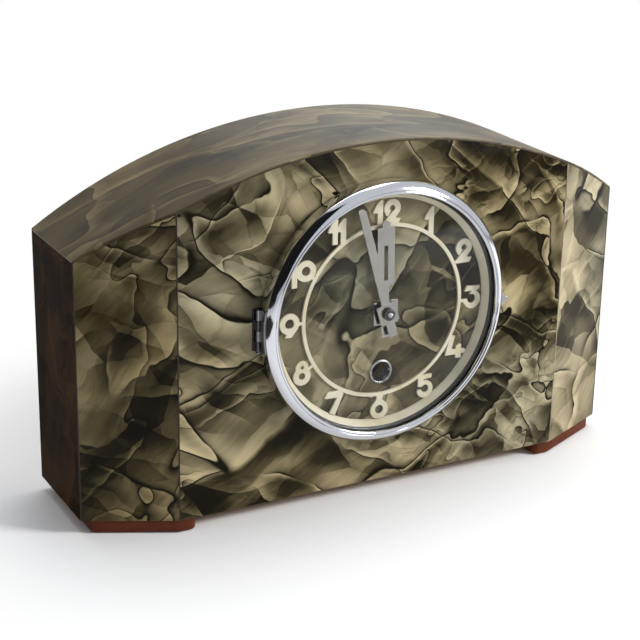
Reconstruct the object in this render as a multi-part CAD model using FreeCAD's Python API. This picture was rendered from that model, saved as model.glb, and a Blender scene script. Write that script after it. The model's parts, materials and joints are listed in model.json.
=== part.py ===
import FreeCAD, Part
import math
import os

os.makedirs("parts", exist_ok=True)

# Mantel clock with a celluloid covered case, in millimetres.
# X runs to the right, Y runs from front to back, Z runs up from the foot soles.

# Case
case_half_width = 150.0
wing_width = 43.0
wing_set_back = 20.2
end_height = 131.0
peak_height = 176.3
sheet = 1.0
board = 8.0
top_board_thickness = 5.0
base_board_thickness = 8.0
cut_overrun = 2.0
half_share = 0.5

# Feet
foot_height = 6.5
foot_inner_reach = 9.0
foot_front_inset = 0.5
foot_end_inset = 4.5
foot_back_inset = 3.0
foot_corner_radius = 3.0
foot_sole_radius = 1.6

# Back board and rear door
back_board_thickness = 5.0
back_recess = 4.0
rear_room = 21.5
door_side_rim = 52.0
door_sill = 12.0
door_top_rim = 20.0
door_gap = 0.5
door_hinge_height = 24.0
door_hinge_inset = 16.0
door_hinge_leaf_width = 9.0
door_hinge_leaf = 0.8
door_hinge_barrel_radius = 1.6
door_hinge_pin_radius = 0.8
door_hinge_knuckles = 3
door_knob_radius = 5.0
door_knob_rim = 0.8
door_knob_rise = 1.2
door_knob_stem_radius = 2.2
door_knob_stem_length = 1.6
door_knob_inset = 12.0

# Dial
dial_above_middle = 3.65
dial_disc_radius = 61.6
dial_disc_thickness = 2.0
arbor_hole_radius = 4.5
numeral_height = 12.0
numeral_thickness = 1.1
numeral_inset = 6.4
numeral_link_width = 1.5
numeral_ring_drop = 6.8
numeral_ring_width = 1.8
numeral_clearance = 0.15
dial_hours = 12
depth_ring_inset = 4.9
depth_ring_slope_width = 3.7
depth_ring_height = 4.0
depth_ring_sheet = 0.6

# Winding eyelet
winding_drop = 32.0
eyelet_bore_radius = 5.0
eyelet_wall = 0.5
eyelet_flange_radius = 6.2
eyelet_flange = 0.8
eyelet_grip = 2.0
hole_clearance = 0.1

# Bezel
base_ring_clearance = 0.4
base_ring_sheet = 0.8
base_ring_flange_width = 3.0
bezel_overhang = 4.0
bezel_sheet = 0.8
bezel_lift = 1.2
bezel_face_rise = 1.6
bezel_shoulder_height = 2.7
bezel_crest_width = 2.6
bezel_face_width = 5.6
bezel_bead_width = 1.2
bezel_groove_depth = 0.6
glass_seat_gap = 0.05
bezel_turn_gap = 0.5
retaining_ring_height = 0.6
retaining_ring_hold = 1.6
glass_thickness = 1.6
glass_hold = 1.7
glass_rise = 6.7
bezel_hinge_length = 21.0
bezel_hinge_knuckles = 4
bezel_hinge_offset = 1.2
bezel_hinge_barrel_radius = 1.1
bezel_hinge_pin_radius = 0.5
bezel_hinge_drop = 2.4
bezel_hinge_leaf = 0.7
bezel_hinge_leaf_width = 4.0
bezel_hinge_leaf_depth = 5.0
knuckle_gap = 0.2
pin_clearance = 0.05
tab_length = 6.6
tab_half_height = 4.6
tab_drop = 4.0
tab_thickness = 1.0
tab_depth = 4.2
tab_root = 0.5
tab_nose_radius = 0.8

# Hands
hand_thickness = 0.5
hour_hand_turn_deg = 1.4
minute_hand_turn_deg = 16.4
hour_hand_level = 3.0
hand_gap = 1.9
hour_hand_length = 46.5
hour_plate_half_width = 6.7
hour_plate_half_height = 6.0
hour_neck_half_width = 1.7
hour_body_half_width = 4.75
hour_body_start = 13.5
hour_body_end = 43.3
hour_body_corner = 1.4
hour_tip_half_width = 2.1
hour_tip_shoulder = 1.1
hour_slot_half_width = 1.05
hour_slot_start = 16.5
hour_slot_end = 34.0
hour_tail_half_width = 2.35
hour_tail_length = 13.0
minute_hand_overreach = 0.3
minute_plate_half_width = 5.2
minute_plate_half_height = 5.2
minute_root_half_width = 2.4
minute_tip_half_width = 2.0
minute_tip_chamfer = 1.8
minute_tail_half_width = 2.4
minute_tail_length = 12.6
hand_nut_radius = 3.1
hand_nut_height = 1.9
hand_nut_chamfer = 0.6
arbor_end_projection = 1.4

# Movement frame
plate_gap_from_board = 8.0
plate_thickness = 1.5
plate_space = 25.5
plate_half_width = 30.0
plate_top_margin = 0.75
plate_bottom_margin = 1.8
plate_corner_radius = 3.0
ear_rim = 3.5
ear_half_height = 5.0
ear_screw_offset = 3.0
ear_screw_inset = 6.0
pillar_side_inset = 5.0
pillar_top_inset = 8.0
pillar_bottom_inset = 6.0
pillar_radius = 3.2
pillar_tenon_radius = 1.8
pillar_tenon_length = 3.6
pillar_waist_radius = 2.4
nut_flats = 6.0
nut_sides = 6
nut_height = 1.8
movement_screw_sleeve_radius = 3.0
movement_screw_shank_radius = 1.5
movement_screw_bite = 6.0
movement_screw_head_radius = 2.9
movement_screw_head_height = 1.0
movement_screw_head_rise = 0.6
pivot_radius = 0.8
arbor_radius = 1.2
running_clearance = 0.05
end_shake = 0.3

# Going train: teeth, modules and the heights of the wheels above the front plate
great_teeth = 72
second_pinion_leaves = 10
second_teeth = 60
centre_pinion_leaves = 12
centre_teeth = 72
third_pinion_leaves = 6
third_teeth = 72
escape_pinion_leaves = 6
escape_teeth = 40
great_module = 0.6
module_step = 0.05
third_bearing_deg = 130.0
escape_radius = 11.0
escape_tooth_depth = 1.8
escape_tooth_shares = (0.50, 0.62, 0.54)
wheel_thickness = 1.2
great_wheel_thickness = 2.0
escape_wheel_thickness = 0.8
pinion_overlap = 0.9
great_level = 2.0
second_level = 22.6
centre_level = 19.0
third_level = 10.0
escape_level = 14.6
wheel_rim = 2.6
wheel_hub_radius = 3.4
wheel_arm_width = 2.0
wheel_arms = 4
wheel_addendum_share = 1.0
wheel_dedendum_share = 1.35
wheel_root_width_share = 0.68
wheel_tip_width_share = 0.28
pinion_addendum_share = 0.55
pinion_dedendum_share = 1.65
pinion_root_width_share = 0.36
pinion_tip_width_share = 0.26

# Motion work
cannon_leaves = 12
minute_teeth = 36
minute_pinion_leaves = 10
hour_teeth = 40
cannon_module = 0.5
hour_module = 0.48
motion_wheel_thickness = 1.0
minute_wheel_level = 1.4
hour_wheel_level = 4.2
cannon_radius = 1.9
centre_shaft_radius = 1.1
hour_pipe_radius = 2.8
minute_stud_radius = 1.0
stud_head_radius = 1.9
stud_head = 0.6

# Spring barrel and winding work
barrel_step = 0.79
barrel_wall = 1.0
barrel_length = 13.5
winding_arbor_radius = 3.0
winding_square = 4.2
winding_square_length = 10.0
winding_tip_inset = 1.5
arbor_hub_radius = 5.4
mainspring_thickness = 0.5
mainspring_turns = 6
mainspring_gap = 0.2
ratchet_teeth = 24
ratchet_radius = 8.5
ratchet_depth = 1.0
ratchet_thickness = 1.5
back_work_gap = 0.3
ratchet_screw_radius = 4.2
ratchet_screw_height = 0.9
click_pivot_x = 10.5
click_pivot_rise = 6.0
click_boss_radius = 2.2
click_gap = 0.15
click_nose_width = 2.2
click_nose_height = 1.6
click_screw_radius = 1.9
click_stud_radius = 1.1
click_spring_wire = 0.5
click_spring_width = 1.4
click_spring_length = 8.0
click_spring_lift = 0.85
click_spring_foot_radius = 2.2

# Escapement and pendulum
pallet_span_teeth = 7.5
pallet_clearance = 0.75
anchor_thickness = 1.6
anchor_arm_width = 2.4
anchor_hub_radius = 1.9
pallet_width = 1.3
pallet_length = 2.2
crutch_length = 30.0
crutch_width = 2.2
crutch_thickness = 1.0
fork_gap = 0.2
fork_prong = 1.0
fork_height = 2.4
cock_half_width = 7.0
cock_plate = 1.2
cock_bridge_rise = 4.2
cock_foot_height = 8.6
cock_front_gap = 3.0
cock_inner_space = 5.0
cock_cheek_half_width = 3.6
cock_cheek_drop = 2.6
suspension_pin_radius = 1.0
suspension_width = 3.4
suspension_block_height = 4.4
suspension_block_depth = 3.0
pendulum_floor_gap = 5.65
pendulum_rod_radius = 0.9
bob_radius = 14.0
bob_thickness = 8.0
bob_rim = 2.0
rating_nut_radius = 3.0
rating_nut_height = 2.2
rating_nut_gap = 0.4
rod_end = 2.0

# Sizes that follow from the ones above
panel_half_width = case_half_width - wing_width
foot_inner_x = panel_half_width - foot_inner_reach
door_half_width = case_half_width - door_side_rim
frame_depth = plate_gap_from_board + 2 * plate_thickness + plate_space
case_depth = sheet + board + frame_depth + rear_room + back_board_thickness + back_recess
dial_height = peak_height * half_share + dial_above_middle
base_ring_radius = dial_disc_radius + base_ring_clearance
bezel_radius = base_ring_radius + bezel_overhang
bezel_lip_radius = bezel_radius - bezel_face_width
glass_radius = bezel_lip_radius + glass_hold
retaining_ring_radius = glass_radius - retaining_ring_hold
depth_ring_inner_radius = dial_disc_radius - depth_ring_inset
numeral_radius = depth_ring_inner_radius - numeral_inset
numeral_ring_radius = numeral_radius - numeral_ring_drop
minute_hand_level = hour_hand_level + hand_thickness + hand_gap
minute_hand_length = depth_ring_inner_radius + minute_hand_overreach
ear_screw_x = plate_half_width + ear_screw_offset
ear_half_width = ear_screw_x + ear_rim
pillar_x = plate_half_width - pillar_side_inset
second_module = great_module - 2 * module_step
centre_module = second_module - module_step
third_module = centre_module - module_step
barrel_radius = great_module * (great_teeth / 2 - wheel_dedendum_share) - barrel_step

# Places worked out from the sizes above
arch_rise = peak_height - end_height
arch_radius = (case_half_width ** 2 + arch_rise ** 2) / (2 * arch_rise)
arch_centre_z = foot_height + peak_height - arch_radius
dial_z = foot_height + dial_height
depth_ring_rim = dial_disc_thickness + depth_ring_height + depth_ring_sheet
glass_rear = depth_ring_rim + bezel_turn_gap + retaining_ring_height
bezel_depth = glass_rear + glass_thickness + bezel_face_rise
bezel_shoulder_depth = bezel_depth - bezel_shoulder_height
glass_front = glass_rear + glass_thickness + glass_rise
overall_depth = glass_front + case_depth
front_y = glass_front - overall_depth / 2
back_y = front_y + case_depth
base_top_z = foot_height + base_board_thickness
ground_y = front_y - dial_disc_thickness
board_back_y = front_y + sheet + board
front_plate_y = board_back_y + plate_gap_from_board
inner_y = front_plate_y + plate_thickness
back_plate_y = inner_y + plate_space
back_work_y = back_plate_y + plate_thickness
back_board_rear_y = back_y - back_recess
back_board_front_y = back_board_rear_y - back_board_thickness
under_top_radius = arch_radius - sheet - top_board_thickness

UP = FreeCAD.Vector(0, 0, 1)
BACK = FreeCAD.Vector(0, 1, 0)


def save(name, shape):
    """Write one sub-part as a STEP file."""
    shape.exportStep("parts/" + name + ".step")


def join(shapes):
    """One solid from pieces that overlap or touch."""
    body = shapes[0]
    for other in shapes[1:]:
        body = body.fuse(other)
    return body.removeSplitter()


def prism(face, depth):
    """A flat face drawn in the X-Z plane, drawn out towards the back."""
    return face.extrude(BACK * depth)


def plan_prism(points, low_z, high_z):
    """A plan outline of X, Y pairs drawn upwards."""
    corners = [FreeCAD.Vector(x, y, low_z) for x, y in points]
    wire = Part.makePolygon(corners + [corners[0]])
    return Part.Face(wire).extrude(UP * (high_z - low_z))


def block(low_x, high_x, low_y, high_y, low_z, high_z):
    """A box between two corners."""
    corner = FreeCAD.Vector(low_x, low_y, low_z)
    return Part.makeBox(high_x - low_x, high_y - low_y, high_z - low_z, corner)


def rod(x, z, radius, low_y, high_y):
    """A cylinder that runs from front to back."""
    return Part.makeCylinder(radius, high_y - low_y, FreeCAD.Vector(x, low_y, z), BACK)


def tube(x, z, outer, inner, low_y, high_y):
    """A hollow cylinder that runs from front to back."""
    hole = rod(x, z, inner, low_y - cut_overrun, high_y + cut_overrun)
    return rod(x, z, outer, low_y, high_y).cut(hole)


def upright_rod(x, y, radius, low_z, high_z):
    """A cylinder that stands upright."""
    return Part.makeCylinder(radius, high_z - low_z, FreeCAD.Vector(x, y, low_z), UP)


def path_edges(path, place):
    """Edges along a closed path. A pair is a straight run to a point, four values an arc through a point."""
    start = place(*path[0])
    here = start
    edges = []
    for step in path[1:]:
        end = place(*step[-2:])
        if len(step) == 2:
            edges.append(Part.LineSegment(here, end).toShape())
        else:
            edges.append(Part.Arc(here, place(*step[:2]), end).toShape())
        here = end
    if here.distanceToPoint(start) > Part.Vertex(start).Tolerance:
        edges.append(Part.LineSegment(here, start).toShape())
    return edges


def flat_face(path, x, y, z, scale):
    """A face in the X-Z plane from a path, scaled and placed about a point."""
    edges = path_edges(path, lambda u, v: FreeCAD.Vector(x + u * scale, y, z + v * scale))
    return Part.Face(Part.Wire(edges))


def turned(path, x, z):
    """A ring or disc turned about a front-to-back axis, from a path of radius and Y."""
    edges = path_edges(path, lambda r, y: FreeCAD.Vector(x + r, y, z))
    return Part.Face(Part.Wire(edges)).revolve(FreeCAD.Vector(x, 0, z), BACK, 360)


def dome_step(rim, rise, low_y, share):
    """Radius and Y of a point part of the way from the rim to the top of a round dome that rises from low_y."""
    sphere = (rim ** 2 + rise ** 2) / (2 * abs(rise))
    radius = rim * share
    drop = sphere - math.sqrt(sphere ** 2 - radius ** 2)
    return radius, low_y + math.copysign(abs(rise) - drop, rise)


def disc_face(x, y, z, radius):
    """A round face in the X-Z plane."""
    circle = Part.Circle(FreeCAD.Vector(x, y, z), BACK, radius)
    return Part.Face(Part.Wire(circle.toShape()))


def mirrored(shape):
    """The same piece on the other side of the clock."""
    return shape.mirror(FreeCAD.Vector(0, 0, 0), FreeCAD.Vector(1, 0, 0))


# Case outline in plan


def wing_corners(inset):
    """Where the right wing meets the front and the end, for a wall line set in from the case's outside."""
    run = case_half_width - panel_half_width
    length = math.hypot(run, wing_set_back)
    cosine = run / length
    sine = wing_set_back / length
    front = (panel_half_width - inset * (1 - cosine) / sine, front_y + inset)
    end_y = front_y + (inset + sine * (run - inset)) / cosine
    return front, (case_half_width - inset, end_y)


def wing_wall(outer, inner):
    front_out, end_out = wing_corners(outer)
    front_in, end_in = wing_corners(inner)
    return [front_out, end_out, end_in, front_in]


def end_wall(outer, inner):
    end_out = wing_corners(outer)[1]
    end_in = wing_corners(inner)[1]
    return [end_out, (end_out[0], back_y), (end_in[0], back_y), end_in]


def front_wall(outer, inner):
    out = wing_corners(outer)[0]
    inn = wing_corners(inner)[0]
    return [(-out[0], out[1]), out, inn, (-inn[0], inn[1])]


def whole_plan(inset):
    front, end = wing_corners(inset)
    right = [front, end, (end[0], back_y)]
    left = [(-x, y) for x, y in reversed(right)]
    return left + right


def under_arch(radius, low_z):
    """Everything below the arch of a given radius, over the whole depth."""
    half = case_half_width + cut_overrun
    side_z = arch_centre_z + math.sqrt(radius ** 2 - half ** 2)
    path = [(-half, low_z), (half, low_z), (half, side_z), (0, arch_centre_z + radius, -half, side_z)]
    return prism(flat_face(path, 0, front_y, 0, 1), case_depth)


def walls_under(points, radius):
    return plan_prism(points, foot_height, foot_height + peak_height).common(under_arch(radius, foot_height))


def dial_bores(shape):
    """The two holes through the front for the hands' arbor and for the key."""
    depth_start = ground_y - cut_overrun
    depth_end = board_back_y + cut_overrun
    centre = rod(0, dial_z, arbor_hole_radius, depth_start, depth_end)
    key_radius = eyelet_bore_radius + eyelet_wall + hole_clearance
    key = rod(0, dial_z - winding_drop, key_radius, depth_start, depth_end)
    return shape.cut(centre).cut(key)


def case_boards():
    inner = sheet + board
    right_wing = walls_under(wing_wall(sheet, inner), under_top_radius)
    right_end = walls_under(end_wall(sheet, inner), under_top_radius)
    save("right_wing_board", right_wing)
    save("left_wing_board", mirrored(right_wing))
    save("right_end_board", right_end)
    save("left_end_board", mirrored(right_end))
    front = dial_bores(walls_under(front_wall(sheet, inner), under_top_radius))
    for x, z in corner_places(ear_screw_x, ear_screw_top, ear_screw_bottom):
        front = front.cut(rod(x, z, movement_screw_shank_radius, board_back_y - movement_screw_bite,
                              board_back_y + cut_overrun))
    save("front_board", front)
    save("base_board", plan_prism(whole_plan(inner), foot_height, base_top_z))
    inside = plan_prism(whole_plan(sheet), foot_height, foot_height + peak_height)
    band = under_arch(arch_radius - sheet, foot_height).cut(under_arch(under_top_radius, foot_height))
    save("top_board", band.common(inside))


def case_sheets():
    top = arch_radius - sheet
    right_wing = walls_under(wing_wall(0, sheet), top)
    right_end = walls_under(end_wall(0, sheet), top)
    save("right_wing_sheet", right_wing)
    save("left_wing_sheet", mirrored(right_wing))
    save("right_end_sheet", right_end)
    save("left_end_sheet", mirrored(right_end))
    save("front_sheet", dial_bores(walls_under(front_wall(0, sheet), top)))
    inside = plan_prism(whole_plan(0), foot_height, foot_height + peak_height)
    band = under_arch(arch_radius, foot_height).cut(under_arch(top, foot_height))
    save("top_sheet", band.common(inside))


def foot():
    """One foot: it follows the wing, with a short straight front and rounded edges."""
    front, end = wing_corners(foot_front_inset)
    outer_x = case_half_width - foot_end_inset
    slope = (end[1] - front[1]) / (end[0] - front[0])
    outer_y = front[1] + slope * (outer_x - front[0])
    rear_y = back_y - foot_back_inset
    plan = [(foot_inner_x, front[1]), front, (outer_x, outer_y), (outer_x, rear_y), (foot_inner_x, rear_y)]
    body = plan_prism(plan, 0, foot_height)
    upright = [edge for edge in body.Edges if edge.BoundBox.ZLength > foot_height / 2]
    outside = [edge for edge in upright if abs(edge.CenterOfMass.x - front[0]) > foot_corner_radius]
    body = body.makeFillet(foot_corner_radius, outside)
    sole = [edge for edge in body.Edges if edge.BoundBox.ZMax < foot_height / 2]
    return body.makeFillet(foot_sole_radius, sole)


def feet():
    right = foot()
    save("right_foot", right)
    save("left_foot", mirrored(right))


# Back board and rear door


def door_shape(inset, low_y, high_y):
    """The door's arched outline, set in all round by a gap."""
    half = door_half_width - inset
    low_z = base_top_z + door_sill + inset
    radius = under_top_radius - door_top_rim - inset
    side_z = arch_centre_z + math.sqrt(radius ** 2 - half ** 2)
    path = [(-half, low_z), (half, low_z), (half, side_z), (0, arch_centre_z + radius, -half, side_z)]
    return prism(flat_face(path, 0, low_y, 0, 1), high_y - low_y)


def hinge_spans():
    """Heights of the two rear hinges."""
    low = base_top_z + door_sill + door_hinge_inset
    radius = under_top_radius - door_top_rim
    high = arch_centre_z + math.sqrt(radius ** 2 - door_half_width ** 2) - door_hinge_inset - door_hinge_height
    return [low, high]


def knuckle_bounds(low, length, count, index):
    """Lower and upper end of one knuckle of a hinge."""
    pitch = length / count
    return low + index * pitch + knuckle_gap / 2, low + (index + 1) * pitch - knuckle_gap / 2


def door_hinge_leaves(direction, first):
    """The two leaves that go to the board (direction -1) or to the door (direction 1)."""
    axis_x = -door_half_width
    axis_y = back_board_rear_y + door_hinge_barrel_radius
    bore_radius = door_hinge_pin_radius + pin_clearance
    leaves = []
    for low in hinge_spans():
        near = axis_x + direction * (door_gap / 2)
        far = axis_x + direction * door_hinge_leaf_width
        plate = block(min(near, far), max(near, far), back_board_rear_y, back_board_rear_y + door_hinge_leaf,
                      low, low + door_hinge_height)
        pieces = [plate]
        for index in range(first, door_hinge_knuckles, 2):
            start, end = knuckle_bounds(low, door_hinge_height, door_hinge_knuckles, index)
            barrel = upright_rod(axis_x, axis_y, door_hinge_barrel_radius, start, end)
            root_x = axis_x + direction * door_hinge_barrel_radius
            root = block(min(axis_x, root_x), max(axis_x, root_x), back_board_rear_y, axis_y, start, end)
            pieces += [barrel, root]
        for index in range(1 - first, door_hinge_knuckles, 2):
            start, end = knuckle_bounds(low, door_hinge_height, door_hinge_knuckles, index)
            relief = upright_rod(axis_x, axis_y, door_hinge_barrel_radius + knuckle_gap,
                                 start - knuckle_gap, end + knuckle_gap)
            pieces[0] = pieces[0].cut(relief)
        bore = upright_rod(axis_x, axis_y, bore_radius, low - cut_overrun,
                           low + door_hinge_height + cut_overrun)
        leaves.append(join(pieces).cut(bore))
    return Part.makeCompound(leaves)


def door_hinge_pins():
    axis_y = back_board_rear_y + door_hinge_barrel_radius
    pins = []
    for low in hinge_spans():
        pins.append(upright_rod(-door_half_width, axis_y, door_hinge_pin_radius, low, low + door_hinge_height))
    return Part.makeCompound(pins)


def rear_door_set():
    half = case_half_width - sheet - board
    slab = block(-half, half, back_board_front_y, back_board_rear_y, base_top_z, foot_height + peak_height)
    slab = slab.common(under_arch(under_top_radius, foot_height))
    opening = door_shape(0, back_board_front_y - cut_overrun, back_board_rear_y + cut_overrun)
    save("back_board", slab.cut(opening))
    save("rear_door", door_shape(door_gap, back_board_front_y, back_board_rear_y))
    save("door_hinge_fixed_leaves", door_hinge_leaves(-1, 0))
    save("door_hinge_moving_leaves", door_hinge_leaves(1, 1))
    save("door_hinge_pins", door_hinge_pins())
    head_start = back_board_rear_y + door_knob_stem_length
    head_middle = head_start + door_knob_rim
    middle = dome_step(door_knob_radius, door_knob_rise, head_middle, half_share)
    path = [(0, back_board_rear_y), (door_knob_stem_radius, back_board_rear_y),
            (door_knob_stem_radius, head_start), (door_knob_radius, head_start),
            (door_knob_radius, head_middle),
            (*middle, 0, head_middle + door_knob_rise)]
    save("door_knob", turned(path, door_half_width - door_knob_inset, dial_z))


# Numerals, as shares of the numeral height about the middle of each numeral

one_shares = [(0.13, -0.52), (0.13, 0.50), (0.05, 0.525), (-0.17, 0.30, -0.31, 0.0), (-0.10, -0.03),
              (-0.10, -0.52)]
two_shares = [(-0.325, -0.475), (-0.225, -0.55), (0.39, -0.55), (0.49, -0.355), (0.24, -0.305),
              (0.417, -0.092), (0.104, 0.488, -0.183, -0.129), (-0.14, -0.195, -0.085, -0.19),
              (0.037, 0.014), (0.108, 0.242, 0.141, -0.004)]
three_shares = [(-0.225, 0.49), (0.41, 0.44), (0.39, 0.335), (0.217, 0.225),
                (0.398, -0.33, -0.297, -0.30), (-0.37, -0.20), (-0.53, -0.185), (-0.53, -0.067),
                (-0.18, -0.075), (0.167, -0.225, -0.025, 0.11), (-0.085, 0.12), (0.035, 0.25),
                (-0.33, 0.265)]
four_shares = [(-0.36, 0.49), (-0.125, 0.46), (-0.275, -0.05), (-0.25, -0.135), (-0.075, -0.14),
               (-0.075, -0.015), (0.06, 0.075), (0.19, 0.035), (0.19, -0.16), (0.36, -0.175), (0.41, -0.275),
               (0.35, -0.375), (0.19, -0.375), (0.185, -0.56), (-0.075, -0.535), (-0.075, -0.375),
               (-0.585, -0.365)]
five_shares = [(-0.31, 0.49), (0.34, 0.485), (0.315, 0.31), (-0.06, 0.295), (-0.05, 0.22),
               (0.348, -0.35, -0.343, -0.29), (-0.333, -0.175), (-0.146, -0.171), (0.148, -0.257, -0.035, 0.03),
               (-0.14, -0.033), (-0.317, -0.017)]
seven_shares = [(-0.39, 0.49), (0.20, 0.51), (0.34, 0.325), (-0.06, -0.61), (-0.317, -0.467), (0.05, 0.20),
                (-0.467, 0.217), (-0.533, 0.275)]
six_neck_shares = [(-0.41, 0.03), (-0.19, 0.36), (-0.21, 0.56), (0.15, 0.56), (0.067, 0.31), (0.27, 0.13),
                   (-0.06, -0.12)]
nine_tail_shares = [(0.29, -0.17), (0.033, -0.49), (-0.26, -0.475), (-0.175, -0.30), (-0.06, 0.08)]
six_bowl_shares = [(-0.058, -0.125, 0.41)]
six_counter_shares = [(-0.062, -0.117, 0.19)]
nine_bowl_shares = [(-0.058, 0.083, 0.435)]
nine_counter_shares = [(-0.058, 0.092, 0.20)]
eight_bowl_shares = [(-0.04, 0.24, 0.285), (-0.04, -0.13, 0.39)]
eight_counter_shares = [(-0.035, 0.245, 0.08), (-0.04, -0.13, 0.146)]
zero_bowl_shares = [(0.083, 0.092, 0.433)]
zero_counter_shares = [(0.083, 0.092, 0.192)]
ones_of_eleven_shares = [-0.20, 0.165]
one_of_ten_shares = (-0.44, -0.02)
one_of_twelve_share = -0.285
two_of_twelve_share = 0.175
one_stem_shares = [(-0.10, -0.45), (-0.10, -0.665), (0.13, -0.665), (0.13, -0.45)]
eight_link_shares = (0.10, 0.06)
nine_link_shares = (0.20, 0.03)
zero_link_shares = (0.30, -0.18)


def outline(shares, x, z):
    return flat_face(shares, x, ground_y - numeral_thickness, z, numeral_height)


def round_digit(bowls, counters, x, z, extra):
    """A numeral made of discs with round counters, and any straight pieces."""
    y = ground_y - numeral_thickness
    h = numeral_height
    faces = [disc_face(x + u * h, y, z + v * h, r * h) for u, v, r in bowls]
    solid = join([prism(face, numeral_thickness) for face in faces + extra])
    for u, v, r in counters:
        hole = disc_face(x + u * h, y, z + v * h, r * h)
        solid = solid.cut(prism(hole, numeral_thickness))
    return solid


def link(x, z, start_shares):
    """A short bar from inside a numeral to the thin ring."""
    start_x = x + start_shares[0] * numeral_height
    start_z = z + start_shares[1] * numeral_height
    angle = math.atan2(start_z - dial_z, start_x)
    length = math.hypot(start_x, start_z - dial_z) - numeral_ring_radius
    low = FreeCAD.Vector(-numeral_link_width / 2, ground_y - numeral_thickness, 0)
    bar = Part.makeBox(numeral_link_width, numeral_thickness, length, low)
    bar.rotate(FreeCAD.Vector(0, 0, 0), BACK, 90 - math.degrees(angle))
    foot_point = FreeCAD.Vector(numeral_ring_radius * math.cos(angle), 0,
                                dial_z + numeral_ring_radius * math.sin(angle))
    bar.translate(foot_point)
    return bar


def numeral(value, x, z):
    """The solids of one numeral."""
    h = numeral_height
    if value == 1:
        faces = [outline(one_shares, x, z), outline(one_stem_shares, x, z)]
    elif value == 2:
        faces = [outline(two_shares, x, z)]
    elif value == 3:
        faces = [outline(three_shares, x, z)]
    elif value == 4:
        faces = [outline(four_shares, x, z)]
    elif value == 5:
        faces = [outline(five_shares, x, z)]
    elif value == 6:
        return [round_digit(six_bowl_shares, six_counter_shares, x, z, [outline(six_neck_shares, x, z)])]
    elif value == 7:
        faces = [outline(seven_shares, x, z)]
    elif value == 8:
        return [round_digit(eight_bowl_shares, eight_counter_shares, x, z, []), link(x, z, eight_link_shares)]
    elif value == 9:
        tail = [outline(nine_tail_shares, x, z)]
        return [round_digit(nine_bowl_shares, nine_counter_shares, x, z, tail), link(x, z, nine_link_shares)]
    elif value == 10:
        zero = round_digit(zero_bowl_shares, zero_counter_shares, x, z, [])
        left = outline(one_shares, x + one_of_ten_shares[0] * h, z + one_of_ten_shares[1] * h)
        counter = zero_counter_shares[0]
        hole = disc_face(x + counter[0] * h, ground_y - numeral_thickness, z + counter[1] * h, counter[2] * h)
        stem = prism(left, numeral_thickness).cut(prism(hole, numeral_thickness))
        return [zero, stem, link(x, z, zero_link_shares)]
    elif value == 11:
        faces = [outline(one_shares, x + shift * h, z) for shift in ones_of_eleven_shares]
    else:
        faces = [outline(one_shares, x + one_of_twelve_share * h, z),
                 outline(two_shares, x + two_of_twelve_share * h, z)]
    return [prism(face, numeral_thickness) for face in faces]


def numeral_ring():
    """Twelve upright numerals and the thin ring that joins them, stamped from one sheet."""
    front = ground_y - numeral_thickness
    outer = numeral_ring_radius + numeral_ring_width / 2
    inner = numeral_ring_radius - numeral_ring_width / 2
    pieces = [tube(0, dial_z, outer, inner, front, ground_y)]
    for hour in range(1, dial_hours + 1):
        angle = 2 * math.pi * hour / dial_hours
        x = numeral_radius * math.sin(angle)
        z = dial_z + numeral_radius * math.cos(angle)
        pieces += numeral(hour, x, z)
    whole = join(pieces)
    limit = rod(0, dial_z, depth_ring_inner_radius - numeral_clearance, front, ground_y)
    inner_hole = rod(0, dial_z, inner, front - cut_overrun, ground_y + cut_overrun)
    return whole.common(limit).cut(inner_hole)


def dial():
    disc = rod(0, dial_z, dial_disc_radius, ground_y, front_y)
    save("dial_disc", dial_bores(disc))
    save("numeral_ring", numeral_ring())
    top_y = ground_y - depth_ring_height
    rim_y = top_y - depth_ring_sheet
    slope_top = depth_ring_inner_radius + depth_ring_slope_width
    outer = base_ring_radius + base_ring_sheet
    path = [(depth_ring_inner_radius, ground_y), (depth_ring_inner_radius + depth_ring_sheet, ground_y),
            (slope_top + depth_ring_sheet, top_y), (outer, top_y), (outer, rim_y), (slope_top, rim_y)]
    save("depth_ring", turned(path, 0, dial_z))
    key_z = dial_z - winding_drop
    tube_radius = eyelet_bore_radius + eyelet_wall
    flange_y = ground_y - eyelet_flange
    edge = eyelet_flange / 2
    path = [(eyelet_bore_radius, flange_y + edge), (eyelet_bore_radius + edge, flange_y),
            (eyelet_flange_radius - edge, flange_y), (eyelet_flange_radius, flange_y + edge),
            (eyelet_flange_radius, ground_y), (tube_radius, ground_y), (tube_radius, front_y + sheet + eyelet_grip),
            (eyelet_bore_radius, front_y + sheet + eyelet_grip)]
    save("winding_eyelet", turned(path, 0, key_z))


# Bezel


def bezel_ring():
    """A pressed ring: straight wall, round shoulder, crest, groove and inner bead."""
    rear = front_y - bezel_lift
    shoulder = front_y - bezel_shoulder_depth
    crest = front_y - bezel_depth
    wall = bezel_radius - bezel_sheet
    crest_radius = bezel_radius - bezel_crest_width
    groove_radius = bezel_lip_radius + bezel_bead_width
    groove = crest + bezel_groove_depth
    half_bead = bezel_bead_width / 2
    glass_front_rim = front_y - glass_rear - glass_thickness
    seat = glass_front_rim - glass_seat_gap
    lip_back = dome_step(glass_radius, -glass_rise, seat, bezel_lip_radius / glass_radius)
    diagonal = bezel_crest_width * (1 - math.sqrt(1 / 2))
    shoulder_drop = (shoulder - crest) * (1 - math.sqrt(1 / 2))
    inner_crest = crest_radius - bezel_sheet
    path = [(bezel_radius, rear), (bezel_radius, shoulder),
            (bezel_radius - diagonal, crest + shoulder_drop, crest_radius, crest),
            (groove_radius + half_bead / 2, crest + bezel_groove_depth / 4, groove_radius, groove),
            (bezel_lip_radius + half_bead, groove - half_bead, bezel_lip_radius, groove),
            lip_back, (inner_crest, seat),
            (wall, shoulder), (wall, rear)]
    return turned(path, 0, dial_z)


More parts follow.
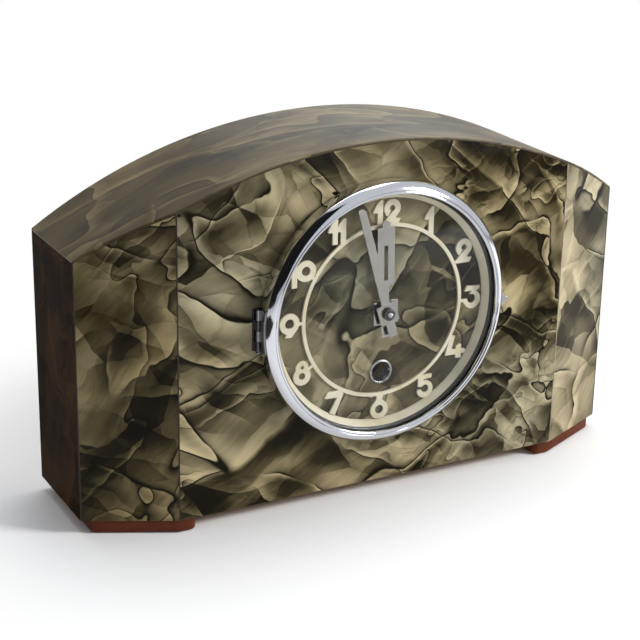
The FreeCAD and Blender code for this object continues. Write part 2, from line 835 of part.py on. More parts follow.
def glass():
    """A domed glass of even thickness."""
    rear = front_y - glass_rear
    front = rear - glass_thickness
    outside = dome_step(glass_radius, -glass_rise, front, half_share)
    inside = dome_step(glass_radius, -glass_rise, rear, half_share)
    path = [(0, front - glass_rise), (*outside, glass_radius, front), (glass_radius, rear),
            (*inside, 0, rear - glass_rise)]
    return turned(path, 0, dial_z)


def hinge_leaf(first, plate):
    """One leaf of the bezel hinge with every second knuckle."""
    axis_x = -bezel_radius - bezel_hinge_offset
    axis_y = front_y - bezel_hinge_drop
    low = dial_z - bezel_hinge_length / 2
    pieces = [plate]
    for index in range(first, bezel_hinge_knuckles, 2):
        start, end = knuckle_bounds(low, bezel_hinge_length, bezel_hinge_knuckles, index)
        pieces.append(upright_rod(axis_x, axis_y, bezel_hinge_barrel_radius, start, end))
        if first:
            pieces.append(block(axis_x, -bezel_radius, axis_y - bezel_hinge_barrel_radius, axis_y, start, end))
        else:
            pieces.append(block(axis_x - bezel_hinge_barrel_radius, axis_x, axis_y, front_y, start, end))
    body = join(pieces)
    for index in range(1 - first, bezel_hinge_knuckles, 2):
        start, end = knuckle_bounds(low, bezel_hinge_length, bezel_hinge_knuckles, index)
        relief = upright_rod(axis_x, axis_y, bezel_hinge_barrel_radius + knuckle_gap,
                             start - knuckle_gap, end + knuckle_gap)
        body = body.cut(relief)
    bore = upright_rod(axis_x, axis_y, bezel_hinge_pin_radius + pin_clearance, low - cut_overrun,
                       low + bezel_hinge_length + cut_overrun)
    return body.cut(bore)


def bezel_hinge():
    low = dial_z - bezel_hinge_length / 2
    high = low + bezel_hinge_length
    axis_x = -bezel_radius - bezel_hinge_offset
    axis_y = front_y - bezel_hinge_drop
    inner = -base_ring_radius - base_ring_flange_width - knuckle_gap
    fixed_plate = block(inner - bezel_hinge_leaf_width, inner, front_y - bezel_hinge_leaf, front_y, low, high)
    save("bezel_hinge_fixed_leaf", hinge_leaf(0, fixed_plate))
    strip = tube(0, dial_z, bezel_radius + bezel_hinge_leaf, bezel_radius,
                 axis_y - bezel_hinge_leaf_depth, axis_y + bezel_hinge_barrel_radius / 2)
    window = block(-bezel_radius - bezel_hinge_offset, 0, front_y - bezel_depth, front_y, low, high)
    save("bezel_hinge_moving_leaf", hinge_leaf(1, strip.common(window)))
    head = bezel_hinge_barrel_radius
    pin = upright_rod(axis_x, axis_y, bezel_hinge_pin_radius, low - knuckle_gap, high + knuckle_gap)
    cap = upright_rod(axis_x, axis_y, head, low - knuckle_gap - bezel_hinge_pin_radius, low - knuckle_gap)
    save("bezel_hinge_pin", join([pin, cap]))


def finger_tab():
    """A pointed tab on the right of the bezel."""
    z = dial_z - tab_drop
    y = front_y - tab_depth
    reach = math.sqrt(bezel_radius ** 2 - (tab_drop + tab_half_height) ** 2)
    point = bezel_radius + tab_length
    nose = tab_nose_radius
    path = [(reach - tab_root, -tab_half_height), (reach + nose, -tab_half_height),
            (point - nose, -nose), (point, 0, point - nose, nose),
            (reach + nose, tab_half_height), (reach - tab_root, tab_half_height)]
    body = prism(flat_face(path, 0, y, z, 1), tab_thickness)
    inside = rod(0, dial_z, bezel_radius, y - cut_overrun, y + tab_thickness + cut_overrun)
    return body.cut(inside)


def bezel():
    flange = base_ring_radius + base_ring_flange_width
    wall = base_ring_radius + base_ring_sheet
    top_y = ground_y - depth_ring_height
    path = [(base_ring_radius, front_y), (flange, front_y), (flange, front_y - base_ring_sheet),
            (wall, front_y - base_ring_sheet), (wall, top_y), (base_ring_radius, top_y)]
    save("bezel_base_ring", turned(path, 0, dial_z))
    save("bezel_ring", bezel_ring())
    save("glass", glass())
    rear = front_y - glass_rear
    save("glass_retaining_ring", tube(0, dial_z, bezel_radius - bezel_sheet, retaining_ring_radius,
                                      rear, rear + retaining_ring_height))
    bezel_hinge()
    save("bezel_finger_tab", finger_tab())


# Hands


def placed_hand(solid, turn_deg):
    """Turn a hand that points up to the time it shows."""
    solid.rotate(FreeCAD.Vector(0, 0, dial_z), BACK, -turn_deg)
    return solid


def hour_hand():
    """A slotted hand with a square plate, a wide body and a stepped point."""
    tip = hour_hand_length - hour_tip_shoulder
    right = [(hour_tail_half_width, -hour_tail_length), (hour_tail_half_width, -hour_plate_half_height),
             (hour_plate_half_width, -hour_plate_half_height), (hour_plate_half_width, hour_plate_half_height),
             (hour_neck_half_width, hour_plate_half_height), (hour_neck_half_width, hour_body_start),
             (hour_body_half_width - hour_body_corner, hour_body_start),
             (hour_body_half_width, hour_body_start + hour_body_corner),
             (hour_body_half_width, hour_body_end), (hour_tip_half_width, hour_body_end),
             (hour_tip_half_width, tip)]
    left = [(-x, z) for x, z in reversed(right)]
    y = ground_y - hour_hand_level - hand_thickness
    hand = prism(flat_face(right + [(0, hour_hand_length)] + left, 0, y, dial_z, 1), hand_thickness)
    slot = block(-hour_slot_half_width, hour_slot_half_width, y - cut_overrun, y + cut_overrun,
                 dial_z + hour_slot_start, dial_z + hour_slot_end)
    hole = rod(0, dial_z, hour_pipe_radius, y - cut_overrun, y + cut_overrun)
    return placed_hand(hand.cut(slot).cut(hole), hour_hand_turn_deg)


def minute_hand():
    """A square-ended tapered hand with a plate and a tail."""
    path = [(-minute_tail_half_width, -minute_tail_length), (minute_tail_half_width, -minute_tail_length),
            (minute_tail_half_width, -minute_plate_half_height),
            (minute_plate_half_width, -minute_plate_half_height),
            (minute_plate_half_width, minute_plate_half_height),
            (minute_root_half_width, minute_plate_half_height),
            (minute_tip_half_width, minute_hand_length - minute_tip_chamfer),
            (minute_tip_half_width - minute_tip_chamfer, minute_hand_length),
            (-minute_tip_half_width, minute_hand_length),
            (-minute_root_half_width, minute_plate_half_height),
            (-minute_plate_half_width, minute_plate_half_height),
            (-minute_plate_half_width, -minute_plate_half_height),
            (-minute_tail_half_width, -minute_plate_half_height)]
    y = ground_y - minute_hand_level - hand_thickness
    hand = prism(flat_face(path, 0, y, dial_z, 1), hand_thickness)
    hole = rod(0, dial_z, cannon_radius, y - cut_overrun, y + cut_overrun)
    return placed_hand(hand.cut(hole), minute_hand_turn_deg)


def hands():
    save("hour_hand", hour_hand())
    save("minute_hand", minute_hand())
    rear = ground_y - minute_hand_level - hand_thickness
    front = rear - hand_nut_height
    path = [(centre_shaft_radius, rear), (hand_nut_radius, rear), (hand_nut_radius, front + hand_nut_chamfer),
            (hand_nut_radius - hand_nut_chamfer, front), (centre_shaft_radius, front)]
    save("hand_nut", turned(path, 0, dial_z))


# Movement: places of the arbors about the dial centre


def third_corner(first, second, first_distance, second_distance, side):
    """The point at two given distances from two others, on one side of their line."""
    dx = second[0] - first[0]
    dz = second[1] - first[1]
    apart = math.hypot(dx, dz)
    along = (first_distance ** 2 - second_distance ** 2 + apart ** 2) / (2 * apart)
    off = math.sqrt(first_distance ** 2 - along ** 2) * side
    ux = dx / apart
    uz = dz / apart
    return (first[0] + ux * along - uz * off, first[1] + uz * along + ux * off)


def mesh_distance(module, first_teeth, second_teeth):
    return module * (first_teeth + second_teeth) / 2


centre_place = (0, dial_z)
barrel_place = (0, dial_z - winding_drop)
second_place = third_corner(barrel_place, centre_place,
                            mesh_distance(great_module, great_teeth, second_pinion_leaves),
                            mesh_distance(second_module, second_teeth, centre_pinion_leaves), -1)
third_distance = mesh_distance(centre_module, centre_teeth, third_pinion_leaves)
third_place = (third_distance * math.cos(math.radians(third_bearing_deg)),
               dial_z + third_distance * math.sin(math.radians(third_bearing_deg)))
escape_distance = mesh_distance(third_module, third_teeth, escape_pinion_leaves)
escape_place = (0, third_place[1] + math.sqrt(escape_distance ** 2 - third_place[0] ** 2))
pallet_half_angle = math.pi * pallet_span_teeth / escape_teeth
anchor_place = (0, escape_place[1] + escape_radius / math.cos(pallet_half_angle))
minute_wheel_place = (-mesh_distance(cannon_module, cannon_leaves, minute_teeth), dial_z)

# Edges of the plates and places of their pillars and screws, above and below the dial centre
cock_top = anchor_place[1] - dial_z + cock_bridge_rise + cock_foot_height
great_wheel_radius = great_module * (great_teeth / 2 + wheel_addendum_share)
plate_top = cock_top + plate_top_margin
plate_bottom = winding_drop + great_wheel_radius + plate_bottom_margin
pillar_top = plate_top - pillar_top_inset
pillar_bottom = plate_bottom - pillar_bottom_inset
ear_screw_top = plate_top - ear_screw_inset
ear_screw_bottom = plate_bottom - ear_screw_inset


def bearing(start, end):
    """Angle in the X-Z plane from one place to another."""
    return math.atan2(end[1] - start[1], end[0] - start[0])


def toothed(place, teeth, module, shares, first_angle, low_y, high_y):
    """A toothed disc. A tooth stands at first_angle."""
    addendum_share, dedendum_share, root_share, tip_share = shares
    pitch_angle = 2 * math.pi / teeth
    root = module * (teeth / 2 - dedendum_share)
    tip = module * (teeth / 2 + addendum_share)
    corners = [(root, -root_share / 2), (tip, -tip_share / 2), (tip, tip_share / 2), (root, root_share / 2)]
    path = []
    for tooth in range(teeth):
        for radius, share in corners:
            angle = first_angle + (tooth + share) * pitch_angle
            path.append((radius * math.cos(angle), radius * math.sin(angle)))
    return prism(flat_face(path, place[0], low_y, place[1], 1), high_y - low_y)


wheel_shares = (wheel_addendum_share, wheel_dedendum_share, wheel_root_width_share, wheel_tip_width_share)
pinion_shares = (pinion_addendum_share, pinion_dedendum_share, pinion_root_width_share, pinion_tip_width_share)


def wheel(place, teeth, module, toward, low_y, high_y):
    """A wheel with a tooth on the line to its pinion."""
    return toothed(place, teeth, module, wheel_shares, bearing(place, toward), low_y, high_y)


def pinion(place, leaves, module, toward, low_y, high_y):
    """A pinion with a gap on the line to its wheel."""
    first = bearing(place, toward) + math.pi / leaves
    return toothed(place, leaves, module, pinion_shares, first, low_y, high_y)


def crossed(solid, place, rim_radius, low_y, high_y):
    """Cut a wheel out to a rim, a hub and straight arms."""
    hollow = tube(place[0], place[1], rim_radius, wheel_hub_radius, low_y - cut_overrun, high_y + cut_overrun)
    for arm in range(wheel_arms // 2):
        bar = block(-rim_radius - cut_overrun, rim_radius + cut_overrun, low_y - 2 * cut_overrun,
                    high_y + 2 * cut_overrun, -wheel_arm_width / 2, wheel_arm_width / 2)
        bar.rotate(FreeCAD.Vector(0, 0, 0), BACK, 360 * arm / wheel_arms)
        bar.translate(FreeCAD.Vector(place[0], 0, place[1]))
        hollow = hollow.cut(bar)
    return solid.cut(hollow)


def crossed_wheel(place, teeth, module, toward, low_y, thickness):
    high_y = low_y + thickness
    solid = wheel(place, teeth, module, toward, low_y, high_y)
    return crossed(solid, place, module * teeth / 2 - wheel_rim, low_y, high_y)


def arbor(place, pinion_start, pinion_end):
    """A shaft in front of and behind its pinion, with two pivots that run in the plates."""
    x, z = place
    front_shaft = rod(x, z, arbor_radius, inner_y + end_shake, pinion_start)
    back_shaft = rod(x, z, arbor_radius, pinion_end, back_plate_y - end_shake)
    front_pivot = rod(x, z, pivot_radius, front_plate_y, inner_y + end_shake)
    back_pivot = rod(x, z, pivot_radius, back_plate_y - end_shake, back_work_y)
    return [front_shaft, back_shaft, front_pivot, back_pivot]


def train_wheel(place, wheel_solid, leaves, module, toward, level):
    """A wheel pressed on its pinion and arbor."""
    low = inner_y + level - pinion_overlap
    high = inner_y + level + wheel_thickness + pinion_overlap
    return join(arbor(place, low, high) + [pinion(place, leaves, module, toward, low, high), wheel_solid])


def going_train():
    second = crossed_wheel(second_place, second_teeth, second_module, centre_place, inner_y + second_level,
                           wheel_thickness)
    save("second_wheel", train_wheel(second_place, second, second_pinion_leaves, great_module, barrel_place,
                                     great_level + (great_wheel_thickness - wheel_thickness) / 2))
    third = crossed_wheel(third_place, third_teeth, third_module, escape_place, inner_y + third_level,
                          wheel_thickness)
    save("third_wheel", train_wheel(third_place, third, third_pinion_leaves, centre_module, centre_place,
                                    centre_level))
    save("escape_wheel", train_wheel(escape_place, escape_disc(), escape_pinion_leaves, third_module,
                                     third_place, third_level))
    save("centre_wheel", crossed_wheel(centre_place, centre_teeth, centre_module, third_place,
                                       inner_y + centre_level, wheel_thickness)
         .cut(rod(0, dial_z, arbor_radius, inner_y, back_plate_y)))
    save("centre_arbor", centre_arbor())


def centre_arbor():
    """The arbor that carries the minute hand, with its pinion and the long front shaft."""
    low = inner_y + second_level - pinion_overlap
    high = inner_y + second_level + wheel_thickness + pinion_overlap
    leaves = pinion(centre_place, centre_pinion_leaves, second_module, second_place, low, high)
    tip_y = ground_y - minute_hand_level - hand_thickness - hand_nut_height - arbor_end_projection
    shaft = rod(0, dial_z, arbor_radius, inner_y + end_shake, back_plate_y - end_shake)
    front = rod(0, dial_z, centre_shaft_radius, tip_y, inner_y + end_shake)
    back = rod(0, dial_z, pivot_radius, back_plate_y - end_shake, back_work_y)
    return join([shaft, front, back, leaves])


def escape_disc():
    """An escape wheel with raked pointed teeth."""
    root = escape_radius - escape_tooth_depth
    pitch_angle = 2 * math.pi / escape_teeth
    front_share, tip_share, back_share = escape_tooth_shares
    corners = [(root, 0), (escape_radius, front_share), (escape_radius, tip_share), (root, back_share)]
    path = []
    for tooth in range(escape_teeth):
        for radius, share in corners:
            angle = (tooth + share) * pitch_angle
            path.append((radius * math.cos(angle), radius * math.sin(angle)))
    low_y = inner_y + escape_level
    high_y = low_y + escape_wheel_thickness
    disc = prism(flat_face(path, escape_place[0], low_y, escape_place[1], 1), escape_wheel_thickness)
    return crossed(disc, escape_place, root - wheel_rim / 2, low_y, high_y)


def motion_work():
    """Cannon pinion, minute wheel with its pinion, and hour wheel with its pipe."""
    minute_y = front_plate_y - minute_wheel_level - motion_wheel_thickness
    hour_y = front_plate_y - hour_wheel_level - motion_wheel_thickness
    hand_y = ground_y - minute_hand_level - hand_thickness
    leaves = pinion(centre_place, cannon_leaves, cannon_module, minute_wheel_place,
                    minute_y - end_shake, minute_y + motion_wheel_thickness + end_shake)
    pipe = rod(0, dial_z, cannon_radius, hand_y, minute_y + motion_wheel_thickness + end_shake)
    bore = rod(0, dial_z, centre_shaft_radius, hand_y - cut_overrun, front_plate_y)
    save("cannon_pinion", join([leaves, pipe]).cut(bore))
    disc = crossed_wheel(minute_wheel_place, minute_teeth, cannon_module, centre_place, minute_y,
                         motion_wheel_thickness)
    small = pinion(minute_wheel_place, minute_pinion_leaves, hour_module, centre_place,
                   hour_y - end_shake, minute_y)
    bore = rod(minute_wheel_place[0], minute_wheel_place[1], minute_stud_radius + running_clearance,
               hour_y - cut_overrun, front_plate_y)
    save("minute_wheel", join([disc, small]).cut(bore))
    disc = wheel(centre_place, hour_teeth, hour_module, minute_wheel_place, hour_y,
                 hour_y + motion_wheel_thickness)
    pipe = rod(0, dial_z, hour_pipe_radius, ground_y - hour_hand_level - hand_thickness,
               hour_y + motion_wheel_thickness)
    bore = rod(0, dial_z, cannon_radius + running_clearance, hand_y - cut_overrun, front_plate_y)
    save("hour_wheel", join([disc, pipe]).cut(bore))


# Movement frame


def corner_places(half_x, top, bottom):
    return [(x, dial_z + z) for x in (-half_x, half_x) for z in (top, -bottom)]


def plate(half_width, low_y):
    """A plate with rounded corners."""
    body = block(-half_width, half_width, low_y, low_y + plate_thickness, dial_z - plate_bottom,
                 dial_z + plate_top)
    edges = [edge for edge in body.Edges if edge.BoundBox.YLength > plate_thickness / 2]
    return body.makeFillet(plate_corner_radius, edges)


def pierced(body, places, radius, low_y):
    for x, z in places:
        body = body.cut(rod(x, z, radius, low_y - cut_overrun, low_y + plate_thickness + cut_overrun))
    return body


def frame_plates():
    pivots = [second_place, third_place, escape_place, anchor_place]
    pillar_places = corner_places(pillar_x, pillar_top, pillar_bottom)
    screw_places = corner_places(ear_screw_x, ear_screw_top, ear_screw_bottom)
    front = plate(plate_half_width, front_plate_y)
    for x, z in screw_places:
        ear = block(min(0, math.copysign(ear_half_width, x)), max(0, math.copysign(ear_half_width, x)),
                    front_plate_y, inner_y, z - ear_half_height, z + ear_half_height)
        front = front.fuse(ear)
    stud_x, stud_z = minute_wheel_place
    stud_end = front_plate_y - hour_wheel_level - motion_wheel_thickness - end_shake - end_shake
    stud = rod(stud_x, stud_z, minute_stud_radius, stud_end - stud_head, front_plate_y)
    head = rod(stud_x, stud_z, stud_head_radius, stud_end - stud_head, stud_end)
    front = join([front, stud, head])
    front = pierced(front, pivots, pivot_radius + running_clearance, front_plate_y)
    front = pierced(front, [centre_place], centre_shaft_radius + running_clearance, front_plate_y)
    front = pierced(front, [barrel_place], winding_arbor_radius + running_clearance, front_plate_y)
    front = pierced(front, pillar_places, pillar_tenon_radius, front_plate_y)
    front = pierced(front, screw_places, movement_screw_shank_radius + hole_clearance, front_plate_y)
    save("front_plate", front)
    back = plate(plate_half_width, back_plate_y)
    back = pierced(back, [second_place, third_place, escape_place, centre_place],
                   pivot_radius + running_clearance, back_plate_y)
    back = pierced(back, [anchor_place], arbor_radius + running_clearance, back_plate_y)
    back = pierced(back, [barrel_place], winding_arbor_radius + running_clearance, back_plate_y)
    back = pierced(back, pillar_places, pillar_tenon_radius, back_plate_y)
    save("back_plate", back)


def pillars():
    """Four turned pillars with a waist, riveted in front and nutted behind."""
    middle = (inner_y + back_plate_y) / 2
    quarter = plate_space / 4
    tenon = plate_thickness + pillar_tenon_length
    bodies = []
    for x, z in corner_places(pillar_x, pillar_top, pillar_bottom):
        path = [(0, front_plate_y), (pillar_tenon_radius, front_plate_y), (pillar_tenon_radius, inner_y),
                (pillar_radius, inner_y), (pillar_radius, middle - quarter), (pillar_waist_radius, middle),
                (pillar_radius, middle + quarter), (pillar_radius, back_plate_y),
                (pillar_tenon_radius, back_plate_y), (pillar_tenon_radius, back_plate_y + tenon),
                (0, back_plate_y + tenon)]
        bodies.append(turned(path, x, z))
    return Part.makeCompound(bodies)


def hexagon_nut(x, z):
    corner = nut_flats / math.sqrt(3)
    turns = [2 * math.pi * side / nut_sides for side in range(nut_sides)]
    path = [(corner * math.cos(turn), corner * math.sin(turn)) for turn in turns]
    body = prism(flat_face(path, x, back_work_y, z, 1), nut_height)
    bore = rod(x, z, pillar_tenon_radius, back_work_y - cut_overrun, back_work_y + nut_height + cut_overrun)
    return body.cut(bore)


def movement_screws():
    """Long screws with spacer sleeves that hold the front plate off the front board."""
    bodies = []
    for x, z in corner_places(ear_screw_x, ear_screw_top, ear_screw_bottom):
        rim_y = inner_y + movement_screw_head_height
        dome = dome_step(movement_screw_head_radius, movement_screw_head_rise, rim_y, half_share)
        path = [(0, board_back_y - movement_screw_bite),
                (movement_screw_shank_radius, board_back_y - movement_screw_bite + movement_screw_shank_radius),
                (movement_screw_shank_radius, board_back_y), (movement_screw_sleeve_radius, board_back_y),
                (movement_screw_sleeve_radius, front_plate_y), (movement_screw_shank_radius, front_plate_y),
                (movement_screw_shank_radius, inner_y), (movement_screw_head_radius, inner_y),
                (movement_screw_head_radius, rim_y), (*dome, 0, rim_y + movement_screw_head_rise)]
        bodies.append(turned(path, x, z))
    return Part.makeCompound(bodies)


# Spring barrel, winding arbor, ratchet and click


def barrel():
    """Great wheel and drum in one piece, hollow for the mainspring."""
    wheel_y = inner_y + great_level
    drum_y = wheel_y + great_wheel_thickness
    end_y = drum_y + barrel_length
    x, z = barrel_place
    toothed_disc = wheel(barrel_place, great_teeth, great_module, second_place, wheel_y, drum_y)
    drum = rod(x, z, barrel_radius, drum_y, end_y)
    hollow = rod(x, z, barrel_radius - barrel_wall, drum_y, end_y - barrel_wall)
    bore = rod(x, z, winding_arbor_radius + running_clearance, wheel_y - cut_overrun, end_y + cut_overrun)
    return join([toothed_disc, drum]).cut(hollow).cut(bore)


def mainspring():
    """A flat spring coiled from the arbor out to the drum wall, in half turns."""
    low_y = inner_y + great_level + great_wheel_thickness + end_shake
    high_y = low_y + barrel_length - barrel_wall - 2 * end_shake
    x, z = barrel_place
    inner = arbor_hub_radius + mainspring_gap
    outer = barrel_radius - barrel_wall - mainspring_gap
    step = (outer - mainspring_thickness - inner) / (2 * mainspring_turns)
    ahead = []
    radius = inner
    side = 1
    centre = 0
    ahead.append((centre + side * radius, 0))
    for half_turn in range(2 * mainspring_turns):
        next_radius = radius + step
        centre = centre - side * (next_radius - radius)
        ahead.append((centre, side * next_radius, centre - side * next_radius, 0))
        radius = next_radius
        side = -side
    grown = [(ahead[0][0] + mainspring_thickness, 0)]
    for xm, zm, xe, ze in ahead[1:]:
        grown.append((xm, zm + math.copysign(mainspring_thickness, zm),
                      xe + math.copysign(mainspring_thickness, xe), ze))
    edges = open_edges(ahead, x, low_y, z) + open_edges(grown, x, low_y, z)
    for first, second in ((ahead[0], grown[0]), (ahead[-1][-2:], grown[-1][-2:])):
        start = FreeCAD.Vector(x + first[0], low_y, z + first[1])
        end = FreeCAD.Vector(x + second[0], low_y, z + second[1])
        edges.append(Part.LineSegment(start, end).toShape())
    wire = Part.Wire(Part.__sortEdges__(edges))
    return prism(Part.Face(wire), high_y - low_y)


def open_edges(path, x, y, z):
    """Arcs along an open path."""
    here = FreeCAD.Vector(x + path[0][0], y, z + path[0][1])
    edges = []
    for xm, zm, xe, ze in path[1:]:
        end = FreeCAD.Vector(x + xe, y, z + ze)
        edges.append(Part.Arc(here, FreeCAD.Vector(x + xm, y, z + zm), end).toShape())
        here = end
    return edges


def winding_arbor():
    """Hub inside the drum, two journals in the plates, a square for the key in front."""
    x, z = barrel_place
    tip_y = board_back_y - winding_tip_inset
    square_end = tip_y + winding_square_length
    half = winding_square / 2
    drum_y = inner_y + great_level + great_wheel_thickness
    rear_y = back_work_y + back_work_gap + ratchet_thickness
    square = block(x - half, x + half, tip_y, square_end, z - half, z + half)
    journal = rod(x, z, winding_arbor_radius, square_end, rear_y)
    hub = rod(x, z, arbor_hub_radius, drum_y + end_shake, drum_y + barrel_length - barrel_wall - end_shake)
    return join([square, journal, hub])


def ratchet():
    """A saw-toothed wheel that the click stops from turning back, with its cap screw."""
    x, z = barrel_place
    low_y = back_work_y + back_work_gap
    root = ratchet_radius - ratchet_depth
    path = []
    for tooth in range(ratchet_teeth):
        angle = math.pi / 2 - 2 * math.pi * tooth / ratchet_teeth
        path.append((root * math.cos(angle), root * math.sin(angle)))
        path.append((ratchet_radius * math.cos(angle), ratchet_radius * math.sin(angle)))
    disc = prism(flat_face(path, x, low_y, z, 1), ratchet_thickness)
    top_y = low_y + ratchet_thickness
    disc = disc.cut(rod(x, z, winding_arbor_radius, low_y - cut_overrun, top_y + cut_overrun))
    cap = rod(x, z, ratchet_screw_radius, top_y, top_y + ratchet_screw_height)
    return join([disc, cap])


def click():
    """The pawl above the ratchet wheel, with its nose in a tooth gap."""
    x, z = barrel_place
    low_y = back_work_y + back_work_gap
    root = ratchet_radius - ratchet_depth
    pitch_angle = 2 * math.pi / ratchet_teeth
    slope_x = -ratchet_radius * math.sin(pitch_angle)
    slope_z = ratchet_radius * math.cos(pitch_angle)
    pivot_x = -click_pivot_x
    pivot_z = click_pivot_rise
    top = ratchet_radius + click_nose_height
    path = [(-click_gap, root + 2 * click_gap), (-click_gap, top), (-click_nose_width, top),
            (pivot_x, pivot_z + click_boss_radius), (pivot_x, pivot_z),
            (slope_x - click_nose_width, slope_z + 2 * click_gap), (slope_x, slope_z + 2 * click_gap)]
    arm = prism(flat_face(path, x, low_y, z, 1), ratchet_thickness)
    boss = rod(x + pivot_x, z + pivot_z, click_boss_radius, low_y, low_y + ratchet_thickness)
    bore = rod(x + pivot_x, z + pivot_z, click_stud_radius + running_clearance, low_y - cut_overrun,
               low_y + ratchet_thickness + cut_overrun)
    return join([arm, boss]).cut(bore)


def click_stud():
    """A shouldered stud on the back plate that the click turns on."""
    x = barrel_place[0] - click_pivot_x
    z = barrel_place[1] + click_pivot_rise
    top_y = back_work_y + 2 * back_work_gap + ratchet_thickness
    stud = rod(x, z, click_stud_radius, back_work_y, top_y)
    head = rod(x, z, click_screw_radius, top_y, top_y + ratchet_screw_height)
    return join([stud, head])


def click_spring():
    """A leaf spring that bears on the click close to its stud, from a round foot on the plate."""
    x = barrel_place[0] - click_pivot_x
    z = barrel_place[1] + click_pivot_rise + click_boss_radius
    low_y = back_work_y + back_work_gap
    foot_x = x - click_spring_foot_radius
    foot_z = z + click_spring_length
    foot = rod(foot_x, foot_z, click_spring_foot_radius, back_work_y, low_y + click_spring_width)
    tip_x = x + click_boss_radius
    tip_z = z + click_spring_lift
    bow_x = foot_x - click_spring_foot_radius / 2
    bow_z = (foot_z + tip_z) / 2
    path = [(foot_x, foot_z), (bow_x, bow_z, tip_x, tip_z), (tip_x, tip_z + click_spring_wire),
            (bow_x + click_spring_wire, bow_z + click_spring_wire / 2, foot_x + click_spring_wire, foot_z)]
    leaf = prism(flat_face(path, 0, low_y, 0, 1), click_spring_width)
    return join([foot, leaf])


def winding_work():
    save("spring_barrel", barrel())
    save("mainspring", mainspring())
    save("winding_arbor", winding_arbor())
    save("ratchet_wheel", ratchet())
    save("click", click())
    save("click_spring", click_spring())


# Escapement and pendulum


def anchor():
    """Hub, two arms and pallets over the escape wheel, with the arbor and the crutch behind the back plate."""
    x, z = anchor_place
    low_y = inner_y + escape_level + (escape_wheel_thickness - anchor_thickness) / 2
    pallet_radius = escape_radius + pallet_clearance
    pieces = [rod(x, z, anchor_hub_radius, low_y, low_y + anchor_thickness)]
    for side in (-1, 1):
        sine = math.sin(pallet_half_angle) * side
        cosine = math.cos(pallet_half_angle)
        inner = (pallet_radius * sine, escape_place[1] - z + pallet_radius * cosine)
        outer = (inner[0] + side * pallet_width, inner[1] + pallet_length)
        path = [(inner[0] - side * pallet_width / 2, inner[1]), inner, (outer[0], inner[1] + pallet_width),
                (outer[0], outer[1] + anchor_arm_width / 2), (side * anchor_hub_radius / 2, anchor_arm_width),
                (0, 0), (inner[0] - side * pallet_width / 2, inner[1] + pallet_length)]
        pieces.append(prism(flat_face(path, x, low_y, z, 1), anchor_thickness))
    shaft = rod(x, z, arbor_radius, inner_y + end_shake, back_work_y + back_work_gap + crutch_thickness)
    pivot = rod(x, z, pivot_radius, front_plate_y, inner_y + end_shake)
    crutch_y = back_work_y + back_work_gap
    hub = rod(x, z, anchor_hub_radius, crutch_y, crutch_y + crutch_thickness)
    strip = block(-crutch_width / 2, crutch_width / 2, crutch_y, crutch_y + crutch_thickness, z - crutch_length, z)
    pieces += [shaft, pivot, hub, strip]
    inner_x = pendulum_rod_radius + fork_gap
    foot_low = z - crutch_length - fork_height
    bridge = block(-inner_x - fork_prong, inner_x + fork_prong, crutch_y, crutch_y + crutch_thickness,
                   foot_low, z - crutch_length)
    pieces.append(bridge)
    for side in (-1, 1):
        near = side * inner_x
        far = side * (inner_x + fork_prong)
        pieces.append(block(min(near, far), max(near, far), crutch_y, pendulum_y + pendulum_rod_radius,
                            foot_low, z - crutch_length))
    return join(pieces)


cock_front_y = back_work_y + cock_front_gap
pendulum_y = cock_front_y + cock_plate + cock_inner_space / 2
cock_rear_y = cock_front_y + 2 * cock_plate + cock_inner_space


def pendulum_cock():
    """A bent bracket: foot on the back plate, bridge, and two cheeks that carry the pendulum."""
    x, z = anchor_place
    bridge_z = z + cock_bridge_rise
    foot_plate = block(-cock_half_width, cock_half_width, back_work_y, back_work_y + cock_plate,
                       bridge_z, bridge_z + cock_foot_height)
    bridge = block(-cock_cheek_half_width, cock_cheek_half_width, back_work_y, cock_rear_y,
                   bridge_z, bridge_z + cock_plate)
    pieces = [foot_plate, bridge]
    for cheek_y in (cock_front_y, cock_rear_y - cock_plate):
        pieces.append(block(-cock_cheek_half_width, cock_cheek_half_width, cheek_y, cheek_y + cock_plate,
                            z - cock_cheek_drop, bridge_z + cock_plate))
    hole = rod(x, z, suspension_pin_radius + running_clearance, cock_front_y - cut_overrun / 2,
               cock_rear_y + cut_overrun)
    return join(pieces).cut(hole)


def back_plate_screws():
    """Two screws that hold the cock to the back plate, and the click's stud."""
    z = anchor_place[1] + cock_bridge_rise + cock_foot_height * 2 / 3
    heads = [click_stud()]
    for side in (-1, 1):
        place_x = side * cock_half_width * 2 / 3
        heads.append(rod(place_x, z, stud_head_radius, back_work_y + cock_plate,
                         back_work_y + cock_plate + cock_plate))
    return Part.makeCompound(heads)


